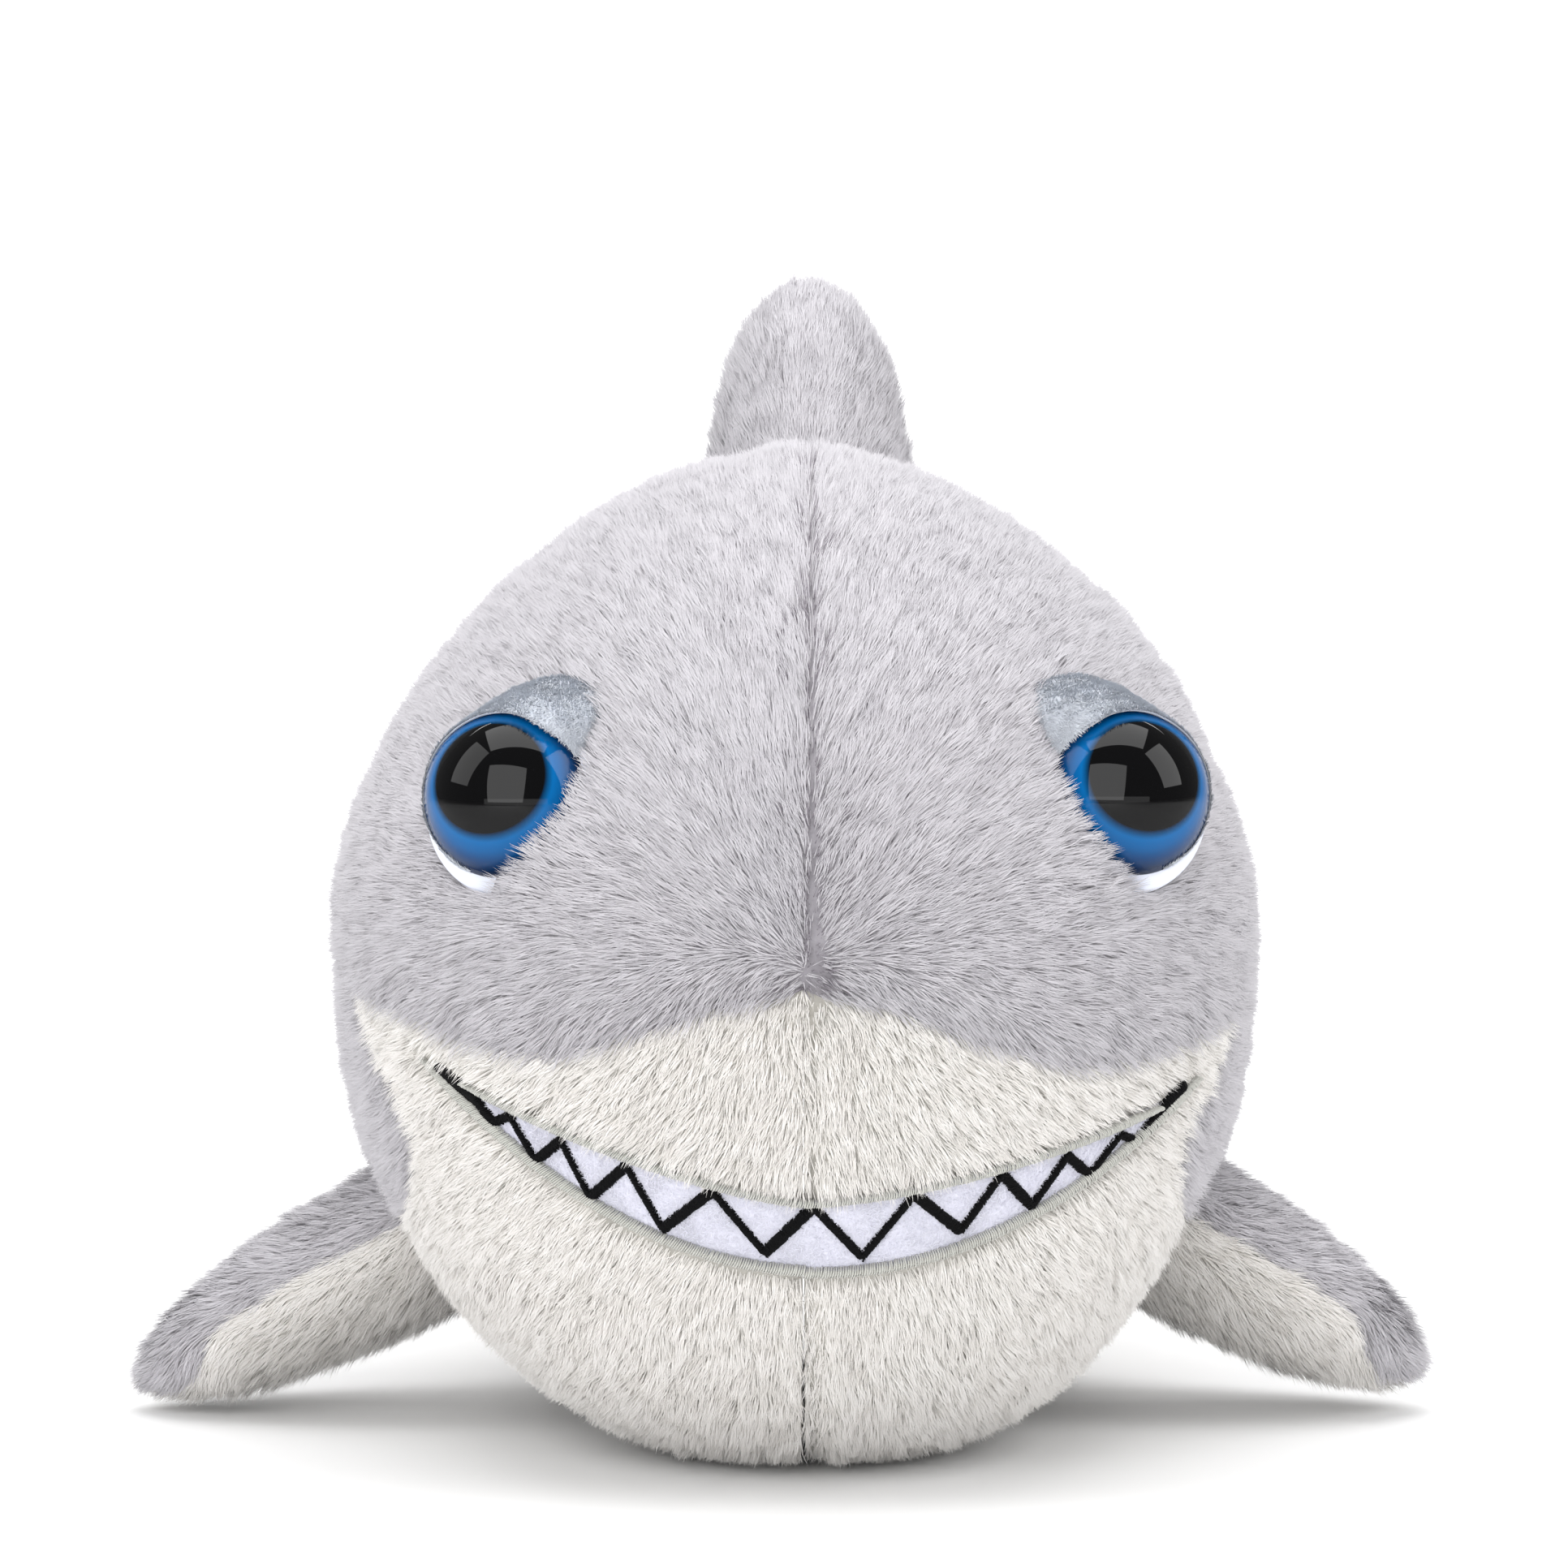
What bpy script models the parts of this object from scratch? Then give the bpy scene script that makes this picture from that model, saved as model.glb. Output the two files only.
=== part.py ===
"""Plush shark, standing on its belly and the tips of its side fins.

Metres, +Z up. The nose points along -Y and the tail along +Y. The origin is on the surface that the
toy stands on, under the middle of its box. "left" is the side at -X and "right" the side at +X.

The body is a stuffed form, described by one analytic surface: at each place along Y it has a
half-width, a top and a bottom, and a superellipse between them. The panels are thick patches of that
surface, sewn edge to edge, so each has a small gap to its neighbours. The fins and the tail are
stuffed lens shapes that stand on hinge lines, which stand for the soft seams that hold them.
"""

import math

import bmesh
import bpy
import numpy as np
from mathutils import Matrix, Vector

# Body form
NOSE_Y = -0.165
BODY_END_Y = 0.080
NOSE_Z = 0.0925
HALF_WIDTH = 0.0862
TOP_Z = 0.1826
BELLY_DROP = 0.003
WIDEST_Y = -0.055
CREST_Y = -0.040
BELLY_Y = -0.085
BELLY_END_Y = -0.010
MIDDLE_RISE = 0.006
END_HALF_WIDTH = 0.026
END_TOP_Z = 0.122
END_BOTTOM_Z = 0.068
UPPER_POWER = 1.66
LOWER_POWER = 2.25

# Plush and gaps
PILE = 0.0040
SEAM_GAP = 0.0003
FILL_GAP = 0.0006
BODY_FILL_GAP = 0.0014

# Grey and cream seam: heights at places along Y, from the nose to the tail
SEAM_Y = (-0.165, -0.160, -0.150, -0.142, -0.130, -0.112, -0.100, -0.092, -0.080, -0.040, 0.030, 0.080)
SEAM_HEIGHT = (0.0910, 0.0840, 0.0784, 0.0775, 0.0795, 0.0830, 0.0820, 0.0640, 0.0480, 0.0420, 0.0480, 0.0800)

# Eyes
EYE_AT = (0.0565, 0.1235)
EYE_YAW = math.radians(33)
EYE_PITCH = math.radians(13)
EYE_RADIUS = 0.0150
EYE_HEIGHT = 0.0098
EYE_LIFT = 0.0016
DISC_RADIUS = 0.0172
DISC_THICKNESS = 0.0014
POST_RADIUS = 0.0030
POST_LENGTH = 0.0170
WASHER_RADIUS = 0.0090
WASHER_THICKNESS = 0.0015
WASHER_DEPTH = 0.0118
LID_THICKNESS = 0.0012
LID_FROM = math.radians(10)
LID_TO = math.radians(172)
LID_TALL = 0.62

# Mouth: height over the middle of its two edges, and how they climb towards the corners
MOUTH_HALF = 0.0690
MOUTH_TOP = (0.0546, 0.0184, 1.38)
MOUTH_BOTTOM = (0.0418, 0.0292, 1.93)
MOUTH_CLIMB_AT = (0.071, 0.067)
TOOTH_POINTS = 17
TOOTH_SPREAD = 0.0560
TOOTH_WIDTH = 0.0016
BORDER_WIDTH = 0.0020
RECESS_MARGIN = 0.0018
RECESS_DEPTH = 0.0026
FELT_DEPTHS = (0.0022, 0.0012)
THREAD_DEPTHS = (0.0008, 0.0001)

# Dorsal fin
DORSAL_Y = 0.0075
DORSAL_SLOPE = math.radians(-24)
DORSAL_SIZE = (0.0410, 0.0340, 0.0205)
DORSAL_TIP = (0.55, 0.62)
DORSAL_ROUND = 0.50
DORSAL_SWEEP = 0.008
DORSAL_SAG = 0.0060
DORSAL_CLEARANCE = 0.0033
DORSAL_SWING = 20

# Side fins
FIN_ROOT = (0.0710, -0.050, 0.0345)
FIN_DROOP = math.radians(27)
FIN_ATTACK = math.radians(15)
FIN_SIZE = (0.0625, 0.0275, 0.0155)
FIN_TIP = (0.70, 0.80)
FIN_ROUND = 0.35
FIN_SWEEP = 0.004
FIN_LIFT = 40

# Tail
TAIL_END_Y = 0.1220
TAIL_HALF_WIDTH = (0.0250, 0.0080)
TAIL_HALF_HEIGHT = (0.0260, 0.0170)
TAIL_MIDDLE_Z = (0.095, 0.100)
TAIL_SEAM = math.radians(118)
TAIL_SWING = 25
CAUDAL_FRONT_Y = 0.1225
CAUDAL_LOW_Z = 0.040
CAUDAL_HIGH_Z = 0.165
CAUDAL_HALF_THICKNESS = 0.0080
CAUDAL_CHORD = 0.0330
CAUDAL_SWEEP = 0.0210

GREY = (0.62, 0.61, 0.64)
CREAM = (0.78, 0.75, 0.71)
FILLING = (0.92, 0.92, 0.90)
FELT_WHITE = (0.84, 0.84, 0.92)
LID_BLUE = (0.62, 0.65, 0.72)
THREAD_BLACK = (0.005, 0.005, 0.006)
THREAD_SILVER = (0.60, 0.60, 0.57)
EYE_BLUE = (0.01, 0.13, 0.42)
EYE_WHITE = (0.80, 0.82, 0.90)
WASHER_WHITE = (0.75, 0.75, 0.75)


def clear_scene():
    for thing in list(bpy.data.objects):
        bpy.data.objects.remove(thing)


def material(name, colour, roughness):
    made = bpy.data.materials.new(name)
    made.use_nodes = True
    shader = made.node_tree.nodes["Principled BSDF"]
    shader.inputs["Base Color"].default_value = (*colour, 1.0)
    shader.inputs["Roughness"].default_value = roughness
    shader.inputs["Metallic"].default_value = 0.0
    return made


def add_object(name, points, faces, finish, parent=None, smooth=True):
    """A mesh object from points in world space. With a parent, its mesh is kept in the parent's space."""
    mesh = bpy.data.meshes.new(name)
    shift = Vector(parent.location) if parent else Vector((0, 0, 0))
    mesh.from_pydata([tuple(Vector(p) - shift) for p in points], [], faces)
    mesh.materials.append(material(name + "_finish", *finish))
    work = bmesh.new()
    work.from_mesh(mesh)
    bmesh.ops.recalc_face_normals(work, faces=work.faces)
    work.to_mesh(mesh)
    work.free()
    if smooth:
        mesh.shade_smooth()
        mesh.set_sharp_from_angle(angle=math.radians(50))
    made = bpy.data.objects.new(name, mesh)
    bpy.context.scene.collection.objects.link(made)
    made.parent = parent
    return made


def joint_empty(name, place):
    made = bpy.data.objects.new(name, None)
    made.location = place
    bpy.context.scene.collection.objects.link(made)
    return made


def cut(target, cutter):
    """Takes the cutter away from the target with an exact Boolean."""
    cutter.hide_render = True
    cutter.display_type = "WIRE"
    change = target.modifiers.new("cut_" + cutter.name, "BOOLEAN")
    change.operation = "DIFFERENCE"
    change.solver = "EXACT"
    change.object = cutter


def patch_solid(outer, inner, start_point=False, end_point=False):
    """Points and faces of a thick patch between two grids of the same size.

    A grid's first or last row may be a single point, as at the nose or a fin's tip.
    """
    rows, columns = outer.shape[:2]
    points, index = [], np.zeros((2, rows, columns), int)
    for layer, grid in enumerate((outer, inner)):
        for r in range(rows):
            single = (start_point and r == 0) or (end_point and r == rows - 1)
            for c in range(columns):
                if single and c > 0:
                    index[layer, r, c] = index[layer, r, 0]
                    continue
                index[layer, r, c] = len(points)
                points.append(grid[r, c])
    faces = []

    def add(*corners):
        ring = []
        for corner in corners:
            if corner not in ring:
                ring.append(int(corner))
        if len(ring) > 2:
            faces.append(ring)

    for r in range(rows - 1):
        for c in range(columns - 1):
            a, b = index[0], index[1]
            add(a[r, c], a[r, c + 1], a[r + 1, c + 1], a[r + 1, c])
            add(b[r, c], b[r + 1, c], b[r + 1, c + 1], b[r, c + 1])
        for c in (0, columns - 1):
            add(index[0, r, c], index[0, r + 1, c], index[1, r + 1, c], index[1, r, c])
    for r, single in ((0, start_point), (rows - 1, end_point)):
        if single:
            continue
        for c in range(columns - 1):
            add(index[0, r, c], index[1, r, c], index[1, r, c + 1], index[0, r, c + 1])
    return points, faces


def closed_loft(rings, start_point=False, end_point=False):
    """Points and faces of a loft of closed rings. An end is a single point or a flat cap."""
    count, around = rings.shape[:2]
    points, index = [], np.zeros((count, around), int)
    for r in range(count):
        single = (start_point and r == 0) or (end_point and r == count - 1)
        for c in range(around):
            if single and c > 0:
                index[r, c] = index[r, 0]
                continue
            index[r, c] = len(points)
            points.append(rings[r, c])
    faces = []
    for r in range(count - 1):
        for c in range(around):
            ring = []
            after = (c + 1) % around
            for corner in (index[r, c], index[r, after], index[r + 1, after], index[r + 1, c]):
                if corner not in ring:
                    ring.append(int(corner))
            faces.append(ring)
    if not start_point:
        faces.append([int(i) for i in index[0]])
    if not end_point:
        faces.append([int(i) for i in index[-1]])
    return points, faces


def lathe(profile, axis, centre, segments):
    """Points and faces of a turned solid. The profile runs from axis to axis as (radius, height)."""
    across = axis.orthogonal().normalized()
    other = axis.cross(across)
    rings = []
    for radius, height in profile:
        ring = []
        for k in range(segments):
            turn = 2 * math.pi * k / segments
            out = across * math.cos(turn) + other * math.sin(turn)
            ring.append(centre + axis * height + out * radius)
        rings.append(ring)
    first = profile[0][0] == 0
    last = profile[-1][0] == 0
    return closed_loft(np.array(rings, float), first, last)


# The body's surface


def dome(y, widest, power):
    """0 at the nose, 1 from the widest place on."""
    along = np.clip((y - NOSE_Y) / (widest - NOSE_Y), 0.0, 1.0)
    return (1 - (1 - along) ** power) ** (1 / power)


def ease(y, start, end):
    """0 up to start, 1 from end on, and smooth between them."""
    along = np.clip((y - start) / (end - start), 0.0, 1.0)
    return along * along * (3 - 2 * along)


def half_width(y):
    narrowing = (HALF_WIDTH - END_HALF_WIDTH) * ease(y, WIDEST_Y + 0.010, BODY_END_Y + 0.012)
    return HALF_WIDTH * dome(y, WIDEST_Y, 2.05) - narrowing


def top_of(y):
    falling = (TOP_Z - END_TOP_Z) * ease(y, CREST_Y + 0.020, BODY_END_Y + 0.020)
    return NOSE_Z + (TOP_Z - NOSE_Z) * dome(y, CREST_Y, 1.9) - falling


def bottom_of(y):
    rising = (END_BOTTOM_Z + BELLY_DROP) * ease(y, BELLY_END_Y, BODY_END_Y + 0.018)
    return NOSE_Z - (NOSE_Z + BELLY_DROP) * dome(y, BELLY_Y, 2.2) + rising


def middle_of(y):
    return NOSE_Z + MIDDLE_RISE * dome(y, WIDEST_Y, 2.0)


def body_point(y, turn):
    """A point on the +X half of the body, at a turn from 0 at the top to pi at the bottom."""
    down = np.cos(turn)
    out = np.abs(np.sin(turn))
    power = 2 / np.where(down >= 0, UPPER_POWER, LOWER_POWER)
    middle = middle_of(y)
    reach = np.where(down >= 0, top_of(y) - middle, middle - bottom_of(y))
    x = half_width(y) * out**power
    z = middle + np.sign(down) * reach * np.abs(down) ** power
    return np.stack([x, y + 0 * x, np.maximum(z, 0.0)], axis=-1)


def turn_at_height(y, z):
    """The turn at which the surface has that height, at that place along the body."""
    middle = middle_of(y)
    reach = np.where(z >= middle, top_of(y) - middle, middle - bottom_of(y))
    power = np.where(z >= middle, UPPER_POWER, LOWER_POWER) / 2
    share = np.clip((z - middle) / np.maximum(reach, 1e-6), -1.0, 1.0)
    return np.arccos(np.sign(share) * np.abs(share) ** power)


def body_normal(y, turn):
    """The outward normal of the +X half, from differences along and around the surface."""
    step = 1e-4
    turn = np.clip(turn, 2 * step, math.pi - 2 * step)
    y = np.clip(y, NOSE_Y + 1e-6, BODY_END_Y - 1e-6)
    around = body_point(y, turn + step) - body_point(y, turn - step)
    along = body_point(y + 5e-7, turn) - body_point(y - 5e-7, turn)
    normal = np.cross(around, along)
    return normal / np.linalg.norm(normal, axis=-1, keepdims=True)


def body_stations(count_front, count_back):
    """Places along Y that crowd towards the nose, where the form turns fastest."""
    angle = np.linspace(0.0, math.pi / 2, count_front + 1)
    front = NOSE_Y + (WIDEST_Y - NOSE_Y) * (1 - np.cos(angle))
    back = np.linspace(WIDEST_Y, BODY_END_Y, count_back + 1)[1:]
    return np.concatenate([front, back])


def body_patch(start_turn, end_turn, columns, stations, depth):
    """Outer grid moved inwards by a depth, between two turns that are given per station."""
    share = np.linspace(0.0, 1.0, columns + 1)
    turns = start_turn[:, None] * (1 - share) + end_turn[:, None] * share
    places = np.repeat(stations[:, None], columns + 1, axis=1)
    grid = body_point(places, turns)
    normal = body_normal(places, turns)
    normal[0] = (0.0, -1.0, 0.0)
    if start_turn.max() == 0.0:
        normal[:, 0, 0] = 0.0
    if end_turn.min() == math.pi:
        normal[:, -1, 0] = 0.0
    normal /= np.linalg.norm(normal, axis=-1, keepdims=True)
    return grid - normal * depth


def mirrored(grid, side):
    return grid * np.array([side, 1.0, 1.0])


def seam_turns(stations):
    heights = np.interp(stations, SEAM_Y, SEAM_HEIGHT)
    turns = turn_at_height(stations, heights)
    turns[0] = turns[1]
    return turns


def make_body_panels():
    stations = body_stations(13, 11)
    seam = seam_turns(stations)
    top = np.zeros_like(stations)
    bottom = np.full_like(stations, math.pi)
    panels = {}
    for side, word in ((-1, "left"), (1, "right")):
        aside = np.array([side * SEAM_GAP / 2, 0.0, 0.0])
        over = np.array([0.0, SEAM_GAP * 0.6, SEAM_GAP])
        for name, start, end, columns, move, colour in (
            ("back_panel_", top, seam, 10, aside + over, GREY),
            ("face_belly_panel_", seam, bottom, 10, aside, CREAM),
        ):
            outer = mirrored(body_patch(start, end, columns, stations, 0.0), side) + move
            inner = mirrored(body_patch(start, end, columns, stations, PILE), side) + move
            points, faces = patch_solid(outer, inner, start_point=True)
            panels[name + word] = add_object(name + word, points, faces, (colour, 0.9))
    return panels


def make_body_stuffing():
    stations = body_stations(13, 11)
    top = np.zeros_like(stations)
    half = body_patch(top, top + math.pi, 11, stations, PILE + BODY_FILL_GAP)
    end_middle = np.array([0.0, 0.0, half[-1, :, 2].mean()])
    half[-1] = end_middle + (half[-1] - end_middle) * 0.96
    half[-1, :, 1] = half[-1, :, 1].min()
    other = mirrored(half[:, 1:-1][:, ::-1], -1)
    rings = np.concatenate([half, other], axis=1)
    points, faces = closed_loft(rings, start_point=True)
    return add_object("body_stuffing", points, faces, (FILLING, 0.95))


# The face


def surface_y(x, z):
    """Where a line along +Y through (x, z) meets the front of the body, by halving."""
    low = np.full(np.shape(x), NOSE_Y)
    high = np.full(np.shape(x), WIDEST_Y)
    for _ in range(40):
        y = (low + high) / 2
        middle = middle_of(y)
        above = z >= middle
        reach = np.where(above, top_of(y) - middle, middle - bottom_of(y))
        power = np.where(above, UPPER_POWER, LOWER_POWER)
        value = (np.abs(x) / np.maximum(half_width(y), 1e-6)) ** power
        value = value + (np.abs(z - middle) / np.maximum(reach, 1e-6)) ** power
        high = np.where(value < 1, y, high)
        low = np.where(value < 1, low, y)
    return (low + high) / 2


def face_points(x, z, depth):
    """Points under the face's surface at a depth along its inward normal."""
    step = 0.0004
    y = surface_y(x, z)
    slope_x = (surface_y(x + step, z) - surface_y(x - step, z)) / (2 * step)
    slope_z = (surface_y(x, z + step) - surface_y(x, z - step)) / (2 * step)
    normal = np.stack([slope_x, -np.ones_like(y), slope_z], axis=-1)
    normal /= np.linalg.norm(normal, axis=-1, keepdims=True)
    return np.stack([x, y, z], axis=-1) - normal * depth


def mouth_edge(x, edge, climb_at):
    base, climb, power = edge
    return base + climb * (np.abs(x) / climb_at) ** power


def mouth_top(x):
    return mouth_edge(x, MOUTH_TOP, MOUTH_CLIMB_AT[0])


def mouth_bottom(x):
    return mouth_edge(x, MOUTH_BOTTOM, MOUTH_CLIMB_AT[1])


def face_band(x, low, high, rows, depths):
    """A thick band on the face between two height lines over x."""
    share = np.linspace(0.0, 1.0, rows + 1)
    across = np.repeat(x[:, None], rows + 1, axis=1)
    heights = low[:, None] * (1 - share) + high[:, None] * share
    outer = face_points(across, heights, depths[1])
    inner = face_points(across, heights, depths[0])
    return patch_solid(outer, inner)


def ribbon_along(path, width, depths):
    """A thick ribbon on the face along a path of (x, z), with mitred corners."""
    path = np.array(path, float)
    step = np.diff(path, axis=0)
    step /= np.linalg.norm(step, axis=1, keepdims=True)
    side = np.stack([-step[:, 1], step[:, 0]], axis=1)
    before = np.vstack([side[:1], side])
    after = np.vstack([side, side[-1:]])
    mitre = before + after
    mitre /= np.sum(mitre * after, axis=1, keepdims=True)
    mitre *= width / 2
    low, high = path - mitre, path + mitre
    across = np.stack([low[:, 0], high[:, 0]], axis=1)
    heights = np.stack([low[:, 1], high[:, 1]], axis=1)
    outer = face_points(across, heights, depths[1])
    inner = face_points(across, heights, depths[0])
    return patch_solid(outer, inner)


def tooth_path():
    """Zigzag corners, alternately near the upper and the lower edge, wider towards the middle."""
    reach = np.linspace(-1.0, 1.0, TOOTH_POINTS)
    x = TOOTH_SPREAD * np.sin(reach * math.pi / 2) * (0.88 + 0.12 * np.abs(reach))
    inset = BORDER_WIDTH / 2 + TOOTH_WIDTH
    path = []
    for k, place in enumerate(x):
        high = mouth_top(place) - inset
        low = mouth_bottom(place) + inset
        corner = np.array([place, high if k % 2 == 0 else low])
        if path:
            path.append((path[-1] + corner) / 2)
        path.append(corner)
    return path


def make_mouth(panels):
    x = MOUTH_HALF * np.sin(np.linspace(-1.0, 1.0, 31) * math.pi / 2)
    points, faces = face_band(x, mouth_bottom(x), mouth_top(x), 2, FELT_DEPTHS)
    add_object("mouth_felt", points, faces, (FELT_WHITE, 0.9))
    points, faces = ribbon_along(tooth_path(), TOOTH_WIDTH, THREAD_DEPTHS)
    add_object("teeth_zigzag_stitching", points, faces, (THREAD_BLACK, 0.6))
    upper = np.linspace(-0.060, 0.060, 27)
    lower = np.linspace(-0.0725, 0.0725, 31)
    for name, line, edge in (
        ("mouth_border_stitch_upper", upper, mouth_top),
        ("mouth_border_stitch_lower", lower, mouth_bottom),
    ):
        points, faces = ribbon_along(list(zip(line, edge(line))), BORDER_WIDTH, THREAD_DEPTHS)
        add_object(name, points, faces, (THREAD_SILVER, 0.5))
    wide = 0.0750 * np.sin(np.linspace(-1.0, 1.0, 33) * math.pi / 2)
    low = mouth_bottom(wide) - RECESS_MARGIN
    high = np.maximum(mouth_top(wide), mouth_bottom(wide)) + RECESS_MARGIN
    points, faces = face_band(wide, low, high, 1, (RECESS_DEPTH, -0.004))
    cutter = add_object("mouth_recess", points, faces, (FELT_WHITE, 0.9))
    for word in ("left", "right"):
        cut(panels["face_belly_panel_" + word], cutter)


def eye_frame(side):
    """The eye's centre on the surface and the direction it looks in."""
    x, z = EYE_AT
    y = float(surface_y(np.array([x]), np.array([z]))[0])
    look = Vector(
        (
            side * math.sin(EYE_YAW) * math.cos(EYE_PITCH),
            -math.cos(EYE_YAW) * math.cos(EYE_PITCH),
            math.sin(EYE_PITCH),
        )
    )
    centre = Vector((side * x, y, z))
    return centre, look


def dome_profile():
    """From the apex over the dome to its rim, then back in to the post and down to its end."""
    radius = (EYE_RADIUS**2 + EYE_HEIGHT**2) / (2 * EYE_HEIGHT)
    profile = []
    for k in range(8):
        angle = k / 7 * math.asin(EYE_RADIUS / radius)
        profile.append((radius * math.sin(angle), EYE_HEIGHT - radius * (1 - math.cos(angle))))
    profile += [(POST_RADIUS, 0.0), (POST_RADIUS, -POST_LENGTH), (0.0, -POST_LENGTH)]
    return profile


def ring_profile(inner, outer, low, high):
    return [(inner, high), (outer, high), (outer, low), (inner, low)]


def turned_ring(name, profile, look, centre, finish, segments):
    """A ring has no axis points, so its loft closes on itself."""
    across = look.orthogonal().normalized()
    other = look.cross(across)
    points, faces = [], []
    for k in range(segments):
        turn = 2 * math.pi * k / segments
        out = across * math.cos(turn) + other * math.sin(turn)
        for radius, height in profile:
            points.append(centre + look * height + out * radius)
    size = len(profile)
    for k in range(segments):
        after = (k + 1) % segments
        for j in range(size):
            follow = (j + 1) % size
            faces.append((k * size + j, k * size + follow, after * size + follow, after * size + j))
    return add_object(name, points, faces, finish)


def make_eyelid(name, side, centre, look):
    """A felt crescent that lies over the upper part of the dome."""
    up = Vector((0.0, 0.0, 1.0))
    up = (up - look * up.dot(look)).normalized()
    outward = look.cross(up) * -side
    if outward.x * side < 0:
        outward = -outward
    inner_radius = EYE_RADIUS + SEAM_GAP
    turns = np.linspace(LID_FROM, LID_TO, 17)
    rows = 5
    grids = []
    for extra in (LID_THICKNESS, 0.0):
        grid = np.zeros((len(turns), rows, 3))
        for i, turn in enumerate(turns):
            share = (turn - LID_FROM) / (LID_TO - LID_FROM)
            tall = LID_TALL * math.sin(math.pi * share) ** 0.7 + 0.10
            around = outward * math.cos(turn) + up * math.sin(turn)
            for j in range(rows):
                rise = tall * j / (rows - 1) * math.pi / 2
                radius = (inner_radius + extra) * math.cos(rise)
                height = 0.0006 + (EYE_HEIGHT + SEAM_GAP + extra) * math.sin(rise)
                grid[i, j] = centre + look * height + around * radius
        grids.append(grid)
    points, faces = patch_solid(grids[0], grids[1])
    return add_object(name, points, faces, (LID_BLUE, 0.9))


def make_eyes(panels, stuffing):
    for side, word in ((-1, "left"), (1, "right")):
        surface, look = eye_frame(side)
        centre = surface + look * (EYE_LIFT + DISC_THICKNESS + SEAM_GAP)
        points, faces = lathe(dome_profile(), look, centre, 24)
        add_object("eye_dome_" + word, points, faces, (EYE_BLUE, 0.08))
        disc = ring_profile(POST_RADIUS + SEAM_GAP, DISC_RADIUS, 0.0, DISC_THICKNESS)
        disc_at = surface + look * EYE_LIFT
        turned_ring("eye_white_disc_" + word, disc, look, disc_at, (EYE_WHITE, 0.35), 24)
        washer = ring_profile(POST_RADIUS + SEAM_GAP, WASHER_RADIUS, 0.0, WASHER_THICKNESS)
        washer_at = surface - look * (WASHER_DEPTH)
        turned_ring("eye_lock_washer_" + word, washer, look, washer_at, (WASHER_WHITE, 0.5), 16)
        make_eyelid("eyelid_" + word, side, centre, look)
        hole = POST_RADIUS + 2 * SEAM_GAP
        seat = DISC_RADIUS + 0.0006
        panel_cut = [(0.0, 0.020), (seat, 0.020), (seat, EYE_LIFT - SEAM_GAP), (hole, EYE_LIFT - SEAM_GAP)]
        panel_cut += [(hole, -0.020), (0.0, -0.020)]
        points, faces = lathe(panel_cut, look, surface, 24)
        cutter = add_object("eye_seat_" + word, points, faces, (EYE_WHITE, 0.5), smooth=False)
        cut(panels["back_panel_" + word], cutter)
        pocket = WASHER_RADIUS + 0.0006
        deep = -WASHER_DEPTH - 0.0006
        fill_cut = [(0.0, 0.020), (pocket, 0.020), (pocket, deep), (hole, deep), (hole, -0.020), (0.0, -0.020)]
        points, faces = lathe(fill_cut, look, surface, 20)
        cutter = add_object("washer_pocket_" + word, points, faces, (EYE_WHITE, 0.5), smooth=False)
        cut(stuffing, cutter)


# Fins and tail


def tip_rounding(t, start):
    """1 up to start, then a quarter circle down to 0 at the tip."""
    along = np.clip((t - start) / (1 - start), 0.0, 1.0)
    return np.sqrt(np.maximum(1 - along * along, 0.0))


class Fin:
    """A stuffed lens shape that stands on a hinge line.

    Its frame has a root point, a span direction, a chord direction and a thickness direction.
    size is (length, half chord, half thickness) at the root, tip is what is left of the chord and the
    thickness just before the round tip, and swings are the two angles that the root leaves room for.
    """

    def __init__(self, root, span, chord, size, tip, tip_round, sweep, swings, sag=0.0):
        self.root = np.array(root, float)
        self.span = np.array(span, float)
        self.chord = np.array(chord, float)
        self.thick = np.cross(self.span, self.chord)
        self.length, self.half_chord, self.half_thick = size
        self.tip_chord, self.tip_thick = tip
        self.tip_round = tip_round
        self.sweep = sweep
        self.sag = sag
        self.swings = [math.tan(math.radians(a)) for a in swings]

    def grid(self, turns, rows, inset):
        """Rows from root to tip, columns at turns round the section: 0 is the trailing edge."""
        share = np.sin(np.linspace(0.0, 1.0, rows + 1) * math.pi / 2)[:, None]
        rounding = tip_rounding(share, self.tip_round)
        chord = (self.half_chord * (1 + (self.tip_chord - 1) * share)) * rounding
        thick = (self.half_thick * (1 + (self.tip_thick - 1) * share)) * rounding
        chord = np.maximum(chord - inset * rounding, 0.0)
        thick = np.maximum(thick - inset * rounding, 0.0)
        c = chord * np.cos(turns)[None, :] + self.sweep * share
        w = thick * np.sin(turns)[None, :]
        first_w = w[0]
        start = np.maximum(first_w, 0.0) * self.swings[0] + np.maximum(-first_w, 0.0) * self.swings[1]
        start = start[None, :] + SEAM_GAP - self.sag * np.cos(turns)[None, :] ** 2
        s = start + (self.length - inset - start) * share
        return (
            self.root
            + s[..., None] * self.span
            + c[..., None] * self.chord
            + w[..., None] * self.thick
        )

    def make(self, names, colours, stuffing_name, parent):
        shift = self.thick * SEAM_GAP / 2
        for name, colour, first, sign in (
            (names[0], colours[0], 0.0, 1),
            (names[1], colours[1], math.pi, -1),
        ):
            turns = np.linspace(first, first + math.pi, 9)
            outer = self.grid(turns, 8, 0.0) + sign * shift
            inner = self.grid(turns, 8, PILE * 0.75) + sign * shift
            points, faces = patch_solid(outer, inner, end_point=True)
            add_object(name, points, faces, (colour, 0.9), parent)
        turns = np.linspace(0.0, 2 * math.pi, 15)[:-1]
        rings = self.grid(turns, 7, PILE * 0.75 + FILL_GAP)
        points, faces = closed_loft(rings, end_point=True)
        add_object(stuffing_name, points, faces, (FILLING, 0.95), parent)


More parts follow.
